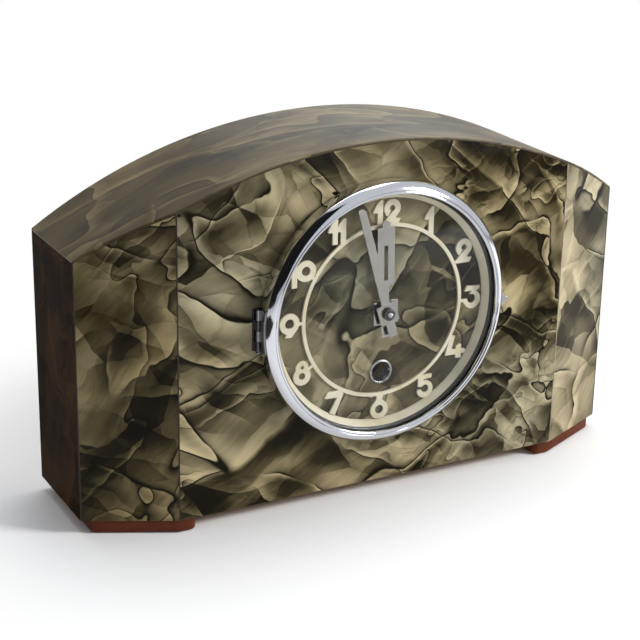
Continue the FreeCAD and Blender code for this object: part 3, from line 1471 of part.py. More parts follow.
def pendulum():
    """Cross pin, spring block and rod in one piece, with a lens-shaped bob above a rating nut."""
    x, z = anchor_place
    pin = rod(x, z, suspension_pin_radius, cock_front_y, cock_rear_y)
    half_depth = suspension_block_depth / 2
    half_width = suspension_width / 2
    block_low = z - suspension_block_height
    top_block = block(-half_width, half_width, pendulum_y - half_depth, pendulum_y + half_depth,
                      block_low, z + half_depth)
    nut_low = base_top_z + pendulum_floor_gap + rod_end
    nut_top = nut_low + rating_nut_height
    bob_z = nut_top + rating_nut_gap + bob_radius
    long_rod = upright_rod(x, pendulum_y, pendulum_rod_radius, nut_low - rod_end, block_low)
    nut = upright_rod(x, pendulum_y, rating_nut_radius, nut_low, nut_top)
    save("pendulum_rod", join([pin, top_block, long_rod, nut]))
    front = pendulum_y - bob_thickness / 2
    rear = pendulum_y + bob_thickness / 2
    rim_front = pendulum_y - bob_rim / 2
    rim_rear = pendulum_y + bob_rim / 2
    front_curve = dome_step(bob_radius, front - rim_front, rim_front, half_share)
    rear_curve = dome_step(bob_radius, rear - rim_rear, rim_rear, half_share)
    path = [(0, front), (*front_curve, bob_radius, rim_front), (bob_radius, rim_rear), (*rear_curve, 0, rear)]
    bob = turned(path, x, bob_z)
    bob_bore = upright_rod(x, pendulum_y, pendulum_rod_radius, bob_z - bob_radius - cut_overrun,
                           bob_z + bob_radius + cut_overrun)
    save("pendulum_bob", bob.cut(bob_bore))


def movement():
    frame_plates()
    save("pillars", pillars())
    nut_places = corner_places(pillar_x, pillar_top, pillar_bottom)
    save("plate_nuts", Part.makeCompound([hexagon_nut(x, z) for x, z in nut_places]))
    save("movement_screws", movement_screws())
    winding_work()
    going_train()
    motion_work()
    save("anchor", anchor())
    save("pendulum_cock", pendulum_cock())
    save("back_plate_screws", back_plate_screws())
    pendulum()


case_boards()
case_sheets()
feet()
rear_door_set()
dial()
bezel()
hands()
movement()
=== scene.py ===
"""Looks of a tambour mantel clock with a celluloid covered case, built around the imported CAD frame."""

import json
import math

import bpy
from mathutils import Matrix, Vector

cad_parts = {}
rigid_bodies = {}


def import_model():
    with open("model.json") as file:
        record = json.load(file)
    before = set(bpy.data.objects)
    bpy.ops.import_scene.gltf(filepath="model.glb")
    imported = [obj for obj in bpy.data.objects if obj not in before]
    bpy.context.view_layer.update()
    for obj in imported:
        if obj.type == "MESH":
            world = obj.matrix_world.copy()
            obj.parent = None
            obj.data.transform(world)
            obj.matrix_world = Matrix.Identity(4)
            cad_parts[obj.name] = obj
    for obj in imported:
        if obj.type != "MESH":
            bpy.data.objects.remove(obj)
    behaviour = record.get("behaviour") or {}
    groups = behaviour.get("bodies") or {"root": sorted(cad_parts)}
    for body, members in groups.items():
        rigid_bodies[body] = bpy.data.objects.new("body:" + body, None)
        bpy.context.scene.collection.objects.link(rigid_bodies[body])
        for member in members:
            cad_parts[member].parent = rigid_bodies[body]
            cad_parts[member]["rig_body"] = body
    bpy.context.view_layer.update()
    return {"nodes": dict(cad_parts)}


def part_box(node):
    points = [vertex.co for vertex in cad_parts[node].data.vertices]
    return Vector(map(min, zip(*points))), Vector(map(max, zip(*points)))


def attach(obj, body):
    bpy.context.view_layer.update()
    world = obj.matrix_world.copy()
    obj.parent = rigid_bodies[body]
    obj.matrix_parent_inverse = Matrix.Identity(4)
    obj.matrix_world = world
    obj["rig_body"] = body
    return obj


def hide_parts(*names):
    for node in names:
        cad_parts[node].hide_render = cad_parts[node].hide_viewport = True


bl_info = {
    "name": "Tambour Mantel Clock",
    "version": (1, 0, 0),
    "blender": (4, 5, 0),
    "location": "View3D > Sidebar > Clock",
    "description": "Builds the finished pieces of a celluloid covered mantel clock",
    "category": "Add Mesh",
}

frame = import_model()

MM = 0.001
DIAL_LOW, DIAL_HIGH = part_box("dial_disc")
DIAL = (DIAL_LOW + DIAL_HIGH) / 2
GROUND_Y = DIAL_LOW.y
FRONT_Y = DIAL_HIGH.y
CASE_LOW, CASE_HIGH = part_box("top_sheet")
BEZEL_LOW, BEZEL_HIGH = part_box("bezel_ring")
BEZEL_RADIUS = (BEZEL_HIGH.x - BEZEL_LOW.x) / 2
GLASS_LOW, GLASS_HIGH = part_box("glass")
GLASS_RADIUS = (GLASS_HIGH.x - GLASS_LOW.x) / 2
ARCH_END_Z = max(corner.co.z for corner in frame["nodes"]["top_sheet"].data.vertices
                 if corner.co.x > CASE_HIGH.x - 0.01 * MM)
SHEET_THICKNESS = 1.0 * MM
GLASS_THICKNESS = 1.6 * MM
GLASS_RISE = 6.7 * MM
# Forward of this depth the depth ring is painted black: a painted shadow for the gap between its rim and the
# glass
PAINTED_SHADOW_RIM_Y = GROUND_Y - 3.5 * MM
RING_SEGMENTS = 160
SCREW_SEGMENTS = 32

# Turn and stretch of the two sets of folds in the celluloid
RISING_FOLDS = ((0, 0.65, 0), (0.45, 1, 1.15))
FALLING_FOLDS = ((0, -0.55, 0.2), (0.5, 1, 1.15))
SLOPE_STEP = 0.06
FACET_TILT = 1.9
SILK_STRETCH = (1, 1, 3.5)
SILK_SCALE = 150.0
GOLDEN = (1.04, 1.0, 0.88)
GREYER = (0.96, 1.0, 1.02)

# Screw head, in shares of its radius and height: the profile from rim to crown, and the slot
SCREW_PROFILE = ((1.0, 0.0), (1.0, 0.45), (0.86, 0.8), (0.5, 1.0), (0.05, 1.02))
SLOT_LENGTH, SLOT_DEPTH, SLOT_WIDTH = 2.4, 0.9, 0.28

# Lamps: name, place, aim, width and height, power
LAMPS = (
    ("key_lamp", (1.32, -1.02, 0.95), (0, 0, 0.08), (0.5, 0.5), 33.0),
    ("top_lamp", (0.2, 0.3, 1.5), (0, 0, 0.1), (1.2, 0.8), 12.0),
    ("back_lamp", (0.95, 1.35, 0.62), (0, 0, 0.17), (1.3, 0.6), 2.4),
)
# Dark cards: name, place, aim, width and height, lightness
CARDS = (
    ("room_flag", (-0.95, -1.25, 1.05), (0, 0, 0.1), (1.5, 2.1), 0.012),
    ("side_flag", (-0.95, -0.35, 1.05), (0, 0, 0.1), (1.3, 1.3), 0.012),
    ("low_flag", (-1.3, -0.35, 0.36), (0, 0, 0.1), (1.7, 0.7), 0.012),
    ("floor_flag", (0.26, -0.36, 0.001), (0.26, -0.36, 1.0), (0.5, 0.42), 0.40),
    ("left_floor_flag", (-0.50, -0.12, 0.001), (-0.50, -0.12, 1.0), (0.45, 0.5), 0.03),
)
FLOOR_SIZE = 14.0
FLOOR_DROP = 0.2 * MM
FLOOR_FADE = (0.16, 0.27)
FILL_COLOUR = (0.94, 0.96, 1.0)
FILL_STRENGTH = 0.38
GLOSSY_EXTRA = 0.35

CAMERA_PLACE = (-0.40099, -0.71835, 0.38516)
CAMERA_FORWARD = (0.44236, 0.82755, -0.34565)
CAMERA_UP = (0.14691, 0.31333, 0.93821)
CAMERA_LENS, CAMERA_SENSOR, CAMERA_CLIP = 97.49, 36.0, 0.01


# Sizes and colours


class ClockSizes(bpy.types.PropertyGroup):
    edge_rounding: bpy.props.FloatProperty(
        name="Sheet edge", description="Rounding along the edges of the celluloid sheets",
        default=0.45 * MM, min=0.0, unit="LENGTH")
    seam_radius: bpy.props.FloatProperty(
        name="Seam", description="Half the width of the glue lines between the sheets",
        default=0.42 * MM, min=0.0, unit="LENGTH")
    stamped_edge: bpy.props.FloatProperty(
        name="Stamped edge", description="Rounding of the stamped numerals",
        default=0.14 * MM, min=0.0, unit="LENGTH")
    hand_edge: bpy.props.FloatProperty(
        name="Hand edge", description="Rounding of the hands, the dial ground and the knob",
        default=0.1 * MM, min=0.0, unit="LENGTH")
    hinge_edge: bpy.props.FloatProperty(
        name="Hinge edge", description="Rounding of the door hinges and the glass retaining ring",
        default=0.08 * MM, min=0.0, unit="LENGTH")
    plate_edge: bpy.props.FloatProperty(
        name="Plate edge", description="Chamfer on the edges of plates and nuts",
        default=0.12 * MM, min=0.0, unit="LENGTH")
    wood_edge: bpy.props.FloatProperty(
        name="Wood edge", description="Rounding of the edges of the back board and the door",
        default=0.4 * MM, min=0.0, unit="LENGTH")


class ClockColours(bpy.types.PropertyGroup):
    pearl_light: bpy.props.FloatVectorProperty(
        name="Pearl light", description="Bright folds of the celluloid", subtype="COLOR",
        default=(0.47, 0.41, 0.26), min=0.0, max=1.0)
    pearl_middle: bpy.props.FloatVectorProperty(
        name="Pearl middle", description="Middle tone of the celluloid", subtype="COLOR",
        default=(0.155, 0.132, 0.073), min=0.0, max=1.0)
    pearl_dark: bpy.props.FloatVectorProperty(
        name="Pearl dark", description="Shaded folds of the celluloid", subtype="COLOR",
        default=(0.036, 0.029, 0.014), min=0.0, max=1.0)
    pearl_crease: bpy.props.FloatVectorProperty(
        name="Pearl crease", description="Sharp creases in the celluloid", subtype="COLOR",
        default=(0.010, 0.008, 0.004), min=0.0, max=1.0)
    cream: bpy.props.FloatVectorProperty(
        name="Cream", description="Numerals and depth ring", subtype="COLOR",
        default=(0.66, 0.60, 0.46), min=0.0, max=1.0)
    mahogany: bpy.props.FloatVectorProperty(
        name="Mahogany", description="Stained wood of the feet", subtype="COLOR",
        default=(0.105, 0.026, 0.010), min=0.0, max=1.0)
    case_wood: bpy.props.FloatVectorProperty(
        name="Case wood", description="Plain wood of the case boards", subtype="COLOR",
        default=(0.36, 0.22, 0.11), min=0.0, max=1.0)
    brass: bpy.props.FloatVectorProperty(
        name="Brass", description="Lacquered brass of the movement", subtype="COLOR",
        default=(0.72, 0.50, 0.20), min=0.0, max=1.0)
    steel: bpy.props.FloatVectorProperty(
        name="Steel", description="Arbors, pinions and screws", subtype="COLOR",
        default=(0.42, 0.42, 0.43), min=0.0, max=1.0)
    chrome: bpy.props.FloatVectorProperty(
        name="Chrome", description="Plating of the bezel and hands", subtype="COLOR",
        default=(0.70, 0.71, 0.75), min=0.0, max=1.0)


def sizes():
    return bpy.context.scene.mantel_clock_sizes


def colours():
    return bpy.context.scene.mantel_clock_colours


# Nodes


def add_node(tree, kind, links=None, **settings):
    """A shader node with its settings, values and incoming links."""
    made = tree.nodes.new(kind)
    for key, value in settings.items():
        setattr(made, key, value)
    for key, value in (links or {}).items():
        if isinstance(value, bpy.types.NodeSocket):
            tree.links.new(value, made.inputs[key])
        else:
            made.inputs[key].default_value = value
    return made


def new_finish(name, **shader_values):
    finish = bpy.data.materials.new(name)
    finish.use_nodes = True
    tree = finish.node_tree
    shader = tree.nodes["Principled BSDF"]
    for key, value in shader_values.items():
        shader.inputs[key.replace("_", " ")].default_value = value
    return finish, tree, shader


def placed_coordinates(tree, turn=(0, 0, 0), stretch=(1, 1, 1)):
    """Object coordinates, turned and stretched."""
    coords = add_node(tree, "ShaderNodeTexCoord")
    mapping = add_node(tree, "ShaderNodeMapping",
                       {"Vector": coords.outputs["Object"], "Rotation": turn, "Scale": stretch})
    return mapping.outputs["Vector"]


def maths(tree, operation, first, second=0.0, clamp=False):
    made = add_node(tree, "ShaderNodeMath", {0: first, 1: second}, operation=operation, use_clamp=clamp)
    return made.outputs[0]


def plus(tree, first, second):
    return maths(tree, "ADD", first, second)


def times(tree, first, second, clamp=False):
    return maths(tree, "MULTIPLY", first, second, clamp)


def larger(tree, first, second):
    return maths(tree, "MAXIMUM", first, second)


def vector_maths(tree, operation, first, second=None, scale=None):
    links = {0: first}
    if second is not None:
        links[1] = second
    if scale is not None:
        links["Scale"] = scale
    made = add_node(tree, "ShaderNodeVectorMath", links, operation=operation)
    return made.outputs["Value" if operation in ("DOT_PRODUCT", "LENGTH") else "Vector"]


def ramp(tree, factor, stops):
    """A colour ramp from (place, colour) stops."""
    made = add_node(tree, "ShaderNodeValToRGB", {"Fac": factor})
    elements = made.color_ramp.elements
    while len(elements) < len(stops):
        elements.new(0.5)
    for element, (place, colour) in zip(elements, stops):
        element.position = place
        element.color = (*colour, 1.0)
    return made.outputs["Color"]


def grey(value):
    return (value, value, value)


def scaled(colour, factors):
    """A colour times one number, or times three."""
    if isinstance(factors, float):
        factors = grey(factors)
    return tuple(channel * factor for channel, factor in zip(colour, factors))


def lighter(colour, factor):
    return tuple(min(1.0, channel * factor) for channel in colour)


def spread(tree, value, low, high, to_low=0.0, to_high=1.0, smooth=False):
    """A value brought from one range to another, and held inside it."""
    made = add_node(tree, "ShaderNodeMapRange", {"Value": value, "From Min": low, "From Max": high,
                                                 "To Min": to_low, "To Max": to_high})
    if smooth:
        made.interpolation_type = "SMOOTHSTEP"
    return made.outputs["Result"]


def fading(tree, value, reach):
    """One at zero, falling to nothing at the reach."""
    return spread(tree, value, 0.0, reach, 1.0, 0.0)


def blend_colours(tree, factor, first, second, blend_type="MIX"):
    made = add_node(tree, "ShaderNodeMix", data_type="RGBA", blend_type=blend_type)
    for key, value in ((0, factor), (6, first), (7, second)):
        if isinstance(value, bpy.types.NodeSocket):
            tree.links.new(value, made.inputs[key])
        else:
            made.inputs[key].default_value = value if key == 0 else (*value, 1.0)
    return made.outputs[2]


def noise(tree, vector, scale, detail=2.0, roughness=0.5, distortion=0.0):
    return add_node(tree, "ShaderNodeTexNoise", {"Vector": vector, "Scale": scale, "Detail": detail,
                                                 "Roughness": roughness, "Distortion": distortion})


def feed(tree, shader, **values):
    for key, value in values.items():
        tree.links.new(value, shader.inputs[key.replace("_", " ")])


def bumped(tree, shader, height, strength, distance):
    bump = add_node(tree, "ShaderNodeBump", {"Height": height, "Strength": strength, "Distance": distance})
    feed(tree, shader, Normal=bump.outputs["Normal"])


def shown_by(tree, first, second, factor):
    """Mix two shaders at the surface."""
    mixed = add_node(tree, "ShaderNodeMixShader", {0: factor, 1: first, 2: second})
    tree.links.new(mixed.outputs["Shader"], tree.nodes["Material Output"].inputs["Surface"])


# Finishes


def crease_shadow(tree, level, width):
    """Dark just past a crease, fading on one side only. Gives the shadow and the bright ridge beside it."""
    soft = maths(tree, "POWER", fading(tree, level, width), 2.0)
    core = fading(tree, level, 0.16 * width)
    near = plus(tree, times(tree, soft, 0.8), times(tree, core, 0.5))
    past = spread(tree, level, -0.0025, 0.0005)
    ridge = times(tree, spread(tree, level, -0.05, -0.004), spread(tree, level, -0.004, 0.0, 1.0, 0.0))
    return times(tree, near, past), ridge


def crumple(tree, vector, scale, place, heading, shadow):
    """One set of folds: creases run where a smooth noise passes through zero. Gives the slope of the folded
    sheet along a heading, the shadow beside the crease and its ridge."""
    def height(offset):
        field = noise(tree, vector_maths(tree, "ADD", vector, offset), scale, 1.0, 0.45)
        return maths(tree, "SUBTRACT", field.outputs["Fac"], 0.5)

    step = SLOPE_STEP / scale
    level = height(place)
    next_level = height(tuple(start + step * way for start, way in zip(place, heading)))
    rise = maths(tree, "SUBTRACT", maths(tree, "ABSOLUTE", next_level), maths(tree, "ABSOLUTE", level))
    return (times(tree, rise, 1.0 / SLOPE_STEP), *crease_shadow(tree, level, shadow))


def facets(tree, vector, scale, place, edge):
    """Angular folds: each facet shades in its own direction. Gives the shade and the line along its edge."""
    moved = vector_maths(tree, "ADD", vector, place)
    links = {"Vector": moved, "Scale": scale, "Randomness": 1.0}
    cells = add_node(tree, "ShaderNodeTexVoronoi", links)
    edges = add_node(tree, "ShaderNodeTexVoronoi", links, feature="DISTANCE_TO_EDGE")
    local = vector_maths(tree, "SUBTRACT", moved, cells.outputs["Position"])
    heading = vector_maths(tree, "SUBTRACT", cells.outputs["Color"], grey(0.5))
    tilt = vector_maths(tree, "DOT_PRODUCT", local, heading)
    return times(tree, tilt, scale * FACET_TILT), fading(tree, edges.outputs["Distance"], edge)


def turned_and_stretched(tree, vector, turn, stretch):
    mapping = add_node(tree, "ShaderNodeMapping", {"Vector": vector, "Rotation": turn})
    return vector_maths(tree, "MULTIPLY", mapping.outputs["Vector"], stretch)


def wander(tree, vector, scale, reach):
    """A smooth offset that changes from place to place."""
    field = noise(tree, vector, scale)
    centred = vector_maths(tree, "SUBTRACT", field.outputs["Color"], grey(0.5))
    return vector_maths(tree, "SCALE", centred, scale=reach)


def patches(tree, vector, scale, low, high, detail=1.0):
    """Soft patches of one on nothing."""
    return spread(tree, noise(tree, vector, scale, detail).outputs["Fac"], low, high, smooth=True)


def weighted(tree, terms):
    """The sum of values times their weights."""
    total = None
    for value, weight in terms:
        part = times(tree, value, weight)
        total = part if total is None else plus(tree, total, part)
    return total


def celluloid(name, place, turn=(0, 0, 0), stretch=(1, 1, 1), fold=20.0, tighten=0.0, tint_and_shade=grey(1.0),
              contrast=1.0, coat=0.3, polish=0.03, lightness=0.0):
    """Pearly celluloid: crumpled satin folds with one-sided dark creases under a clear gloss. The folds get
    tighter towards +X by the tighten value. The tint also paints the light and shade falling on a sheet,
    and the lightness lifts its tone as painted light."""
    palette = colours()
    finish, tree, shader = new_finish(name, Metallic=0.15, Coat_Weight=coat, Coat_Roughness=polish,
                                      Coat_IOR=1.3, Specular_IOR_Level=0.0)
    base = placed_coordinates(tree, turn, stretch)
    if tighten:
        across = add_node(tree, "ShaderNodeSeparateXYZ", {"Vector": base})
        zoom = plus(tree, times(tree, across.outputs["X"], tighten), 1.0)
        base = vector_maths(tree, "SCALE", base, scale=zoom)
    base = vector_maths(tree, "ADD", base, place)
    broad_bend = wander(tree, base, fold * 0.7, 0.6 / fold)
    fine_bend = wander(tree, vector_maths(tree, "ADD", base, broad_bend), fold * 3.2, 0.13 / fold)
    bend = vector_maths(tree, "ADD", broad_bend, fine_bend)
    bent = vector_maths(tree, "ADD", base, bend)
    rising, falling = (vector_maths(tree, "ADD", turned_and_stretched(tree, base, *folds), bend)
                       for folds in (RISING_FOLDS, FALLING_FOLDS))

    slope_a, shadow_a, ridge_a = crumple(tree, rising, fold, place=(0.13, 0.21, 0.37),
                                         heading=(0.2, 0.4, 0.9), shadow=0.15)
    slope_b, shadow_b, ridge_b = crumple(tree, falling, fold * 1.25, place=(1.41, 0.55, 0.05),
                                         heading=(-0.2, 0.4, 0.9), shadow=0.12)
    slope_c, shadow_c, ridge_c = crumple(tree, rising, fold * 2.7, place=(2.3, 1.7, 0.9),
                                         heading=(0.2, 0.3, 0.9), shadow=0.10)
    large, large_edge = facets(tree, falling, fold * 1.15, place=(0.7, 0.2, 0.4), edge=0.07)
    medium, medium_edge = facets(tree, rising, fold * 2.2, place=(0.5, 0.9, 0.1), edge=0.08)
    small, small_edge = facets(tree, falling, fold * 4.2, place=(0.2, 1.2, 0.8), edge=0.05)
    busy = patches(tree, bent, fold * 0.75, 0.42, 0.58)
    broken = patches(tree, base, fold * 1.4, 0.36, 0.50)

    ridge = times(tree, larger(tree, ridge_a, ridge_b), broken)
    shade = weighted(tree, [(slope_a, 0.30), (slope_b, 0.22), (times(tree, slope_c, busy), 0.16),
                            (large, 0.34), (medium, 0.22), (times(tree, small, busy), 0.34),
                            (ridge, 0.30), (times(tree, ridge_c, busy), 0.22)])
    silk = noise(tree, vector_maths(tree, "MULTIPLY", rising, SILK_STRETCH), SILK_SCALE, 3.0, 0.6)
    silk_level = maths(tree, "SUBTRACT", silk.outputs["Fac"], 0.5)
    # The lightness value adds painted light to the tone
    tone = plus(tree, weighted(tree, [(shade, contrast), (silk_level, 0.22)]), 0.50 + lightness)
    colour = ramp(tree, tone, [(0.02, palette.pearl_crease), (0.25, palette.pearl_dark),
                               (0.48, palette.pearl_middle), (0.80, palette.pearl_light),
                               (1.0, lighter(palette.pearl_light, 1.3))])

    shadow = times(tree, larger(tree, shadow_a, shadow_b), broken)
    shadow = larger(tree, shadow, times(tree, shadow_c, busy))
    knots = times(tree, larger(tree, large_edge, medium_edge), broken)
    knots = larger(tree, knots, times(tree, small_edge, busy))
    shadow = larger(tree, shadow, times(tree, knots, 0.32))
    colour = blend_colours(tree, times(tree, shadow, 0.92 * min(1.0, contrast), clamp=True), colour,
                           palette.pearl_crease)
    warm = patches(tree, base, 9.0, 0.35, 0.65, detail=2.0)
    # The tint also paints the light and shade on the sheet
    golden = blend_colours(tree, 1.0, colour, scaled(tint_and_shade, GOLDEN), "MULTIPLY")
    greyer = blend_colours(tree, 1.0, colour, scaled(tint_and_shade, GREYER), "MULTIPLY")
    feed(tree, shader, Base_Color=blend_colours(tree, warm, greyer, golden),
         Roughness=spread(tree, silk.outputs["Fac"], 0.3, 0.7, 0.36, 0.48))
    bumped(tree, shader, tone, 0.3, 1.0 * MM)
    return finish


def worn_metal(name, colour, roughness, streak=(1, 1, 1), streak_scale=300.0, streak_strength=0.05,
               tarnish=0.15):
    """Metal with fine brushing and slight tarnish."""
    finish, tree, shader = new_finish(name, Metallic=1.0)
    brush = noise(tree, placed_coordinates(tree, stretch=streak), streak_scale, 3.0, 0.6)
    cloud = noise(tree, placed_coordinates(tree), 45.0, 4.0, 0.6)
    dull = spread(tree, cloud.outputs["Fac"], 0.45, 0.75, smooth=True)
    tone = blend_colours(tree, times(tree, dull, tarnish * 3.0, clamp=True), tuple(colour),
                         scaled(colour, 1.0 - 2.2 * tarnish))
    rough = plus(tree, times(tree, brush.outputs["Fac"], roughness * 0.5), times(tree, dull, roughness * 0.4))
    feed(tree, shader, Base_Color=tone, Roughness=plus(tree, rough, roughness * 0.6))
    bumped(tree, shader, brush.outputs["Fac"], streak_strength, 0.2 * MM)
    return finish


def enamel(name, colour, roughness=0.38, speck=0.08, painted_shadow_before=None):
    """Cream stoved enamel with faint clouding and specks. Forward of a given depth it is painted black, a
    painted shadow for the dark gap at a rim.
    """
    finish, tree, shader = new_finish(name, Specular_IOR_Level=0.4)
    base = placed_coordinates(tree)
    cloud = noise(tree, base, 60.0, 4.0, 0.6)
    specks = noise(tree, base, 900.0)
    tone = ramp(tree, cloud.outputs["Fac"], [(0.30, scaled(colour, (0.86, 0.80, 0.66))),
                                             (0.52, tuple(colour)), (0.72, lighter(colour, 1.06))])
    dots = spread(tree, specks.outputs["Fac"], 0.66, 0.74, smooth=True)
    tone = blend_colours(tree, times(tree, dots, speck * 4.0, clamp=True), tone, (0.20, 0.14, 0.06))
    # Painted shadow: black forward of the given depth, for the shaded gap at the rim
    if painted_shadow_before is not None:
        depth = add_node(tree, "ShaderNodeSeparateXYZ", {"Vector": base})
        rim = spread(tree, depth.outputs["Y"], painted_shadow_before - 0.1 * MM, painted_shadow_before, 1.0, 0.0)
        tone = blend_colours(tree, rim, tone, grey(0.006))
    feed(tree, shader, Base_Color=tone,
         Roughness=spread(tree, cloud.outputs["Fac"], 0.3, 0.7, roughness * 0.85, roughness * 1.15))
    bumped(tree, shader, specks.outputs["Fac"], 0.08, 0.1 * MM)
    return finish


def wood(name, colour, along=(1, 1, 1), grain=55.0, roughness=0.4, coat=0.0, depth=0.5):
    """Wood with soft streaks and long pores. The along value flattens the grain on one axis."""
    finish, tree, shader = new_finish(name, Coat_Weight=coat, Coat_Roughness=0.15, Specular_IOR_Level=0.12)
    base = placed_coordinates(tree, stretch=along)
    streaks = noise(tree, base, grain, 4.0, 0.6, 0.8)
    pores = noise(tree, base, grain * 14.0, 3.0, 0.6)
    tone = ramp(tree, streaks.outputs["Fac"], [(0.28, scaled(colour, 1.0 - depth)), (0.5, tuple(colour)),
                                               (0.72, lighter(colour, 1.25))])
    pits = spread(tree, pores.outputs["Fac"], 0.54, 0.68, smooth=True)
    tone = blend_colours(tree, times(tree, pits, 0.5), tone, scaled(colour, 0.3))
    feed(tree, shader, Base_Color=tone,
         Roughness=spread(tree, pores.outputs["Fac"], 0.3, 0.7, roughness, roughness + 0.18))
    bumped(tree, shader, pores.outputs["Fac"], 0.12, 0.3 * MM)
    return finish


def clear_glass(name):
    """Thin clear glass: reflects by its angle and lets the light through."""
    finish, tree, shader = new_finish(name, Roughness=0.0, Transmission_Weight=1.0, IOR=1.22)
    smears = noise(tree, placed_coordinates(tree, stretch=(1, 1, 0.5)), 40.0, 4.0, 0.6)
    tone = ramp(tree, smears.outputs["Fac"], [(0.3, (0.97, 0.985, 0.98)), (0.7, grey(1.0))])
    feed(tree, shader, Base_Color=tone)
    passing = add_node(tree, "ShaderNodeBsdfTransparent", {"Color": (0.94, 0.95, 0.94, 1.0)})
    ray = add_node(tree, "ShaderNodeLightPath")
    open_ray = larger(tree, ray.outputs["Is Shadow Ray"], ray.outputs["Is Diffuse Ray"])
    shown_by(tree, shader.outputs["BSDF"], passing.outputs["BSDF"], open_ray)
    return finish


def glue(name, colour):
    """Hardened, clouded glue. The colour it is given also paints the joint's light and shade."""
    finish, tree, shader = new_finish(name, Roughness=0.5, Specular_IOR_Level=0.3)
    cloud = noise(tree, placed_coordinates(tree), 90.0, 3.0, 0.6)
    tone = ramp(tree, cloud.outputs["Fac"], [(0.3, scaled(colour, 0.35)), (0.7, colour)])
    feed(tree, shader, Base_Color=tone)
    bumped(tree, shader, cloud.outputs["Fac"], 0.3, 0.3 * MM)
    return finish


def finish_table():
    """The material slot of each finish, its maker and the maker's values."""
    palette = colours()
    return {
        # Each sheet's tint also paints the light and shade on it: the left end and left wing darker as in
        # shade, the right wing lighter as lit, with its lightness value adding painted light
        "front_pearl": ("pearloid", celluloid, dict(
            place=(0.12, 0.2, 0.53), fold=22.0, tighten=1.8, tint_and_shade=(0.77, 0.75, 0.74), contrast=1.08)),
        "left_wing_pearl": ("pearloid", celluloid, dict(
            place=(0.37, 0.1, 0.22), turn=(0, 0.3, 0), fold=15.0, tint_and_shade=(0.58, 0.54, 0.48), contrast=0.9)),
        "right_wing_pearl": ("pearloid", celluloid, dict(
            place=(0.31, 0.3, 0.12), fold=17.0, tint_and_shade=(0.93, 0.93, 1.03), contrast=0.95, lightness=0.10)),
        "top_pearl": ("pearloid", celluloid, dict(
            place=(0.05, 0.7, 0.4), turn=(0, 0, 0.5), stretch=(0.55, 1.5, 1), fold=15.0,
            tint_and_shade=(0.58, 0.51, 0.42), contrast=0.48, coat=0.6, polish=0.30)),
        "left_end_pearl": ("pearloid", celluloid, dict(
            place=(0.1, 0.1, 0.9), stretch=(1, 1, 0.6), fold=16.0, tint_and_shade=(0.13, 0.07, 0.035), contrast=0.4,
            coat=0.0)),
        "right_end_pearl": ("pearloid", celluloid, dict(place=(0.6, 0.4, 0.9), fold=22.0, tint_and_shade=grey(0.7))),
        "dial_pearl": ("pearloid", celluloid, dict(
            place=(0.23, 0.5, 0.61), tint_and_shade=(0.70, 0.69, 0.72), contrast=0.86, coat=0.0)),
        # Dark glue whose colour also paints the shade in the joints
        "dark_glue": ("pearloid", glue, dict(colour=(0.04, 0.027, 0.016))),
        # Pale glue: a painted highlight for the lit right front joint
        "pale_glue": ("pearloid", glue, dict(colour=(0.42, 0.36, 0.24))),
        "cream_enamel": ("cream_enamel", enamel, dict(colour=palette.cream)),
        # Depth ring enamel, with a painted shadow in black along its front rim
        "cream_satin": ("cream_enamel", enamel, dict(
            colour=scaled(palette.cream, 0.92), roughness=0.45, speck=0.03, painted_shadow_before=PAINTED_SHADOW_RIM_Y)),
        "bezel_chrome": ("chrome", worn_metal, dict(
            colour=palette.chrome, roughness=0.09, streak_scale=120.0, streak_strength=0.01, tarnish=0.05)),
        # Plating darkened and warmed: a painted reflection for the warm grey the hands mirror
        "hand_chrome": ("chrome", worn_metal, dict(
            colour=scaled(palette.chrome, (0.37, 0.35, 0.31)), roughness=0.14, streak=(0.2, 1, 3),
            streak_scale=240.0, streak_strength=0.02, tarnish=0.04)),
        # Near black plating: painted shade for the shadow that lies on the fixed bezel hinge leaf
        "hinge_chrome": ("chrome", worn_metal, dict(
            colour=(0.10, 0.10, 0.105), roughness=0.25, tarnish=0.2)),
        "dull_nickel": ("chrome", worn_metal, dict(
            colour=(0.30, 0.30, 0.31), roughness=0.32, tarnish=0.12)),
        "blackened_nut": ("dark_metal", worn_metal, dict(colour=grey(0.06), roughness=0.3, tarnish=0.1)),
        "black_brass": ("brass", worn_metal, dict(colour=(0.012, 0.011, 0.010), roughness=0.4)),
        "plate_brass": ("brass", worn_metal, dict(
            colour=palette.brass, roughness=0.26, streak=(1, 1, 0.08), streak_scale=500.0,
            streak_strength=0.06, tarnish=0.08)),
        "wheel_brass": ("brass", worn_metal, dict(
            colour=palette.brass, roughness=0.22, streak_scale=700.0, streak_strength=0.04, tarnish=0.06)),
        "hinge_brass": ("brass", worn_metal, dict(
            colour=scaled(palette.brass, 0.8), roughness=0.34, streak=(1, 1, 0.3), streak_strength=0.08,
            tarnish=0.14)),
        "arbor_steel": ("steel", worn_metal, dict(
            colour=palette.steel, roughness=0.24, streak=(1, 0.1, 1), streak_scale=600.0, tarnish=0.08)),
        "blued_steel": ("steel", worn_metal, dict(colour=(0.06, 0.08, 0.16), roughness=0.25, tarnish=0.08)),
        "mahogany": ("foot_wood", wood, dict(
            colour=palette.mahogany, along=(0.1, 0.6, 1), grain=150.0, roughness=0.5, depth=0.4)),
        "case_wood": ("case_wood", wood, dict(
            colour=palette.case_wood, along=(0.15, 1, 1), grain=40.0, roughness=0.6)),
        "stained_back": ("back_wood", wood, dict(
            colour=scaled(palette.case_wood, 0.42), along=(0.12, 1, 1), grain=46.0, roughness=0.45,
            coat=0.15)),
        "dial_glass": ("glass", clear_glass, {}),
    }


finishes = {}


def finish_of(name):
    """Each finish is made once and shared."""
    if name not in finishes:
        _, maker, values = finish_table()[name]
        finishes[name] = maker(name, **values)
    return finishes[name]


# Shaping helpers


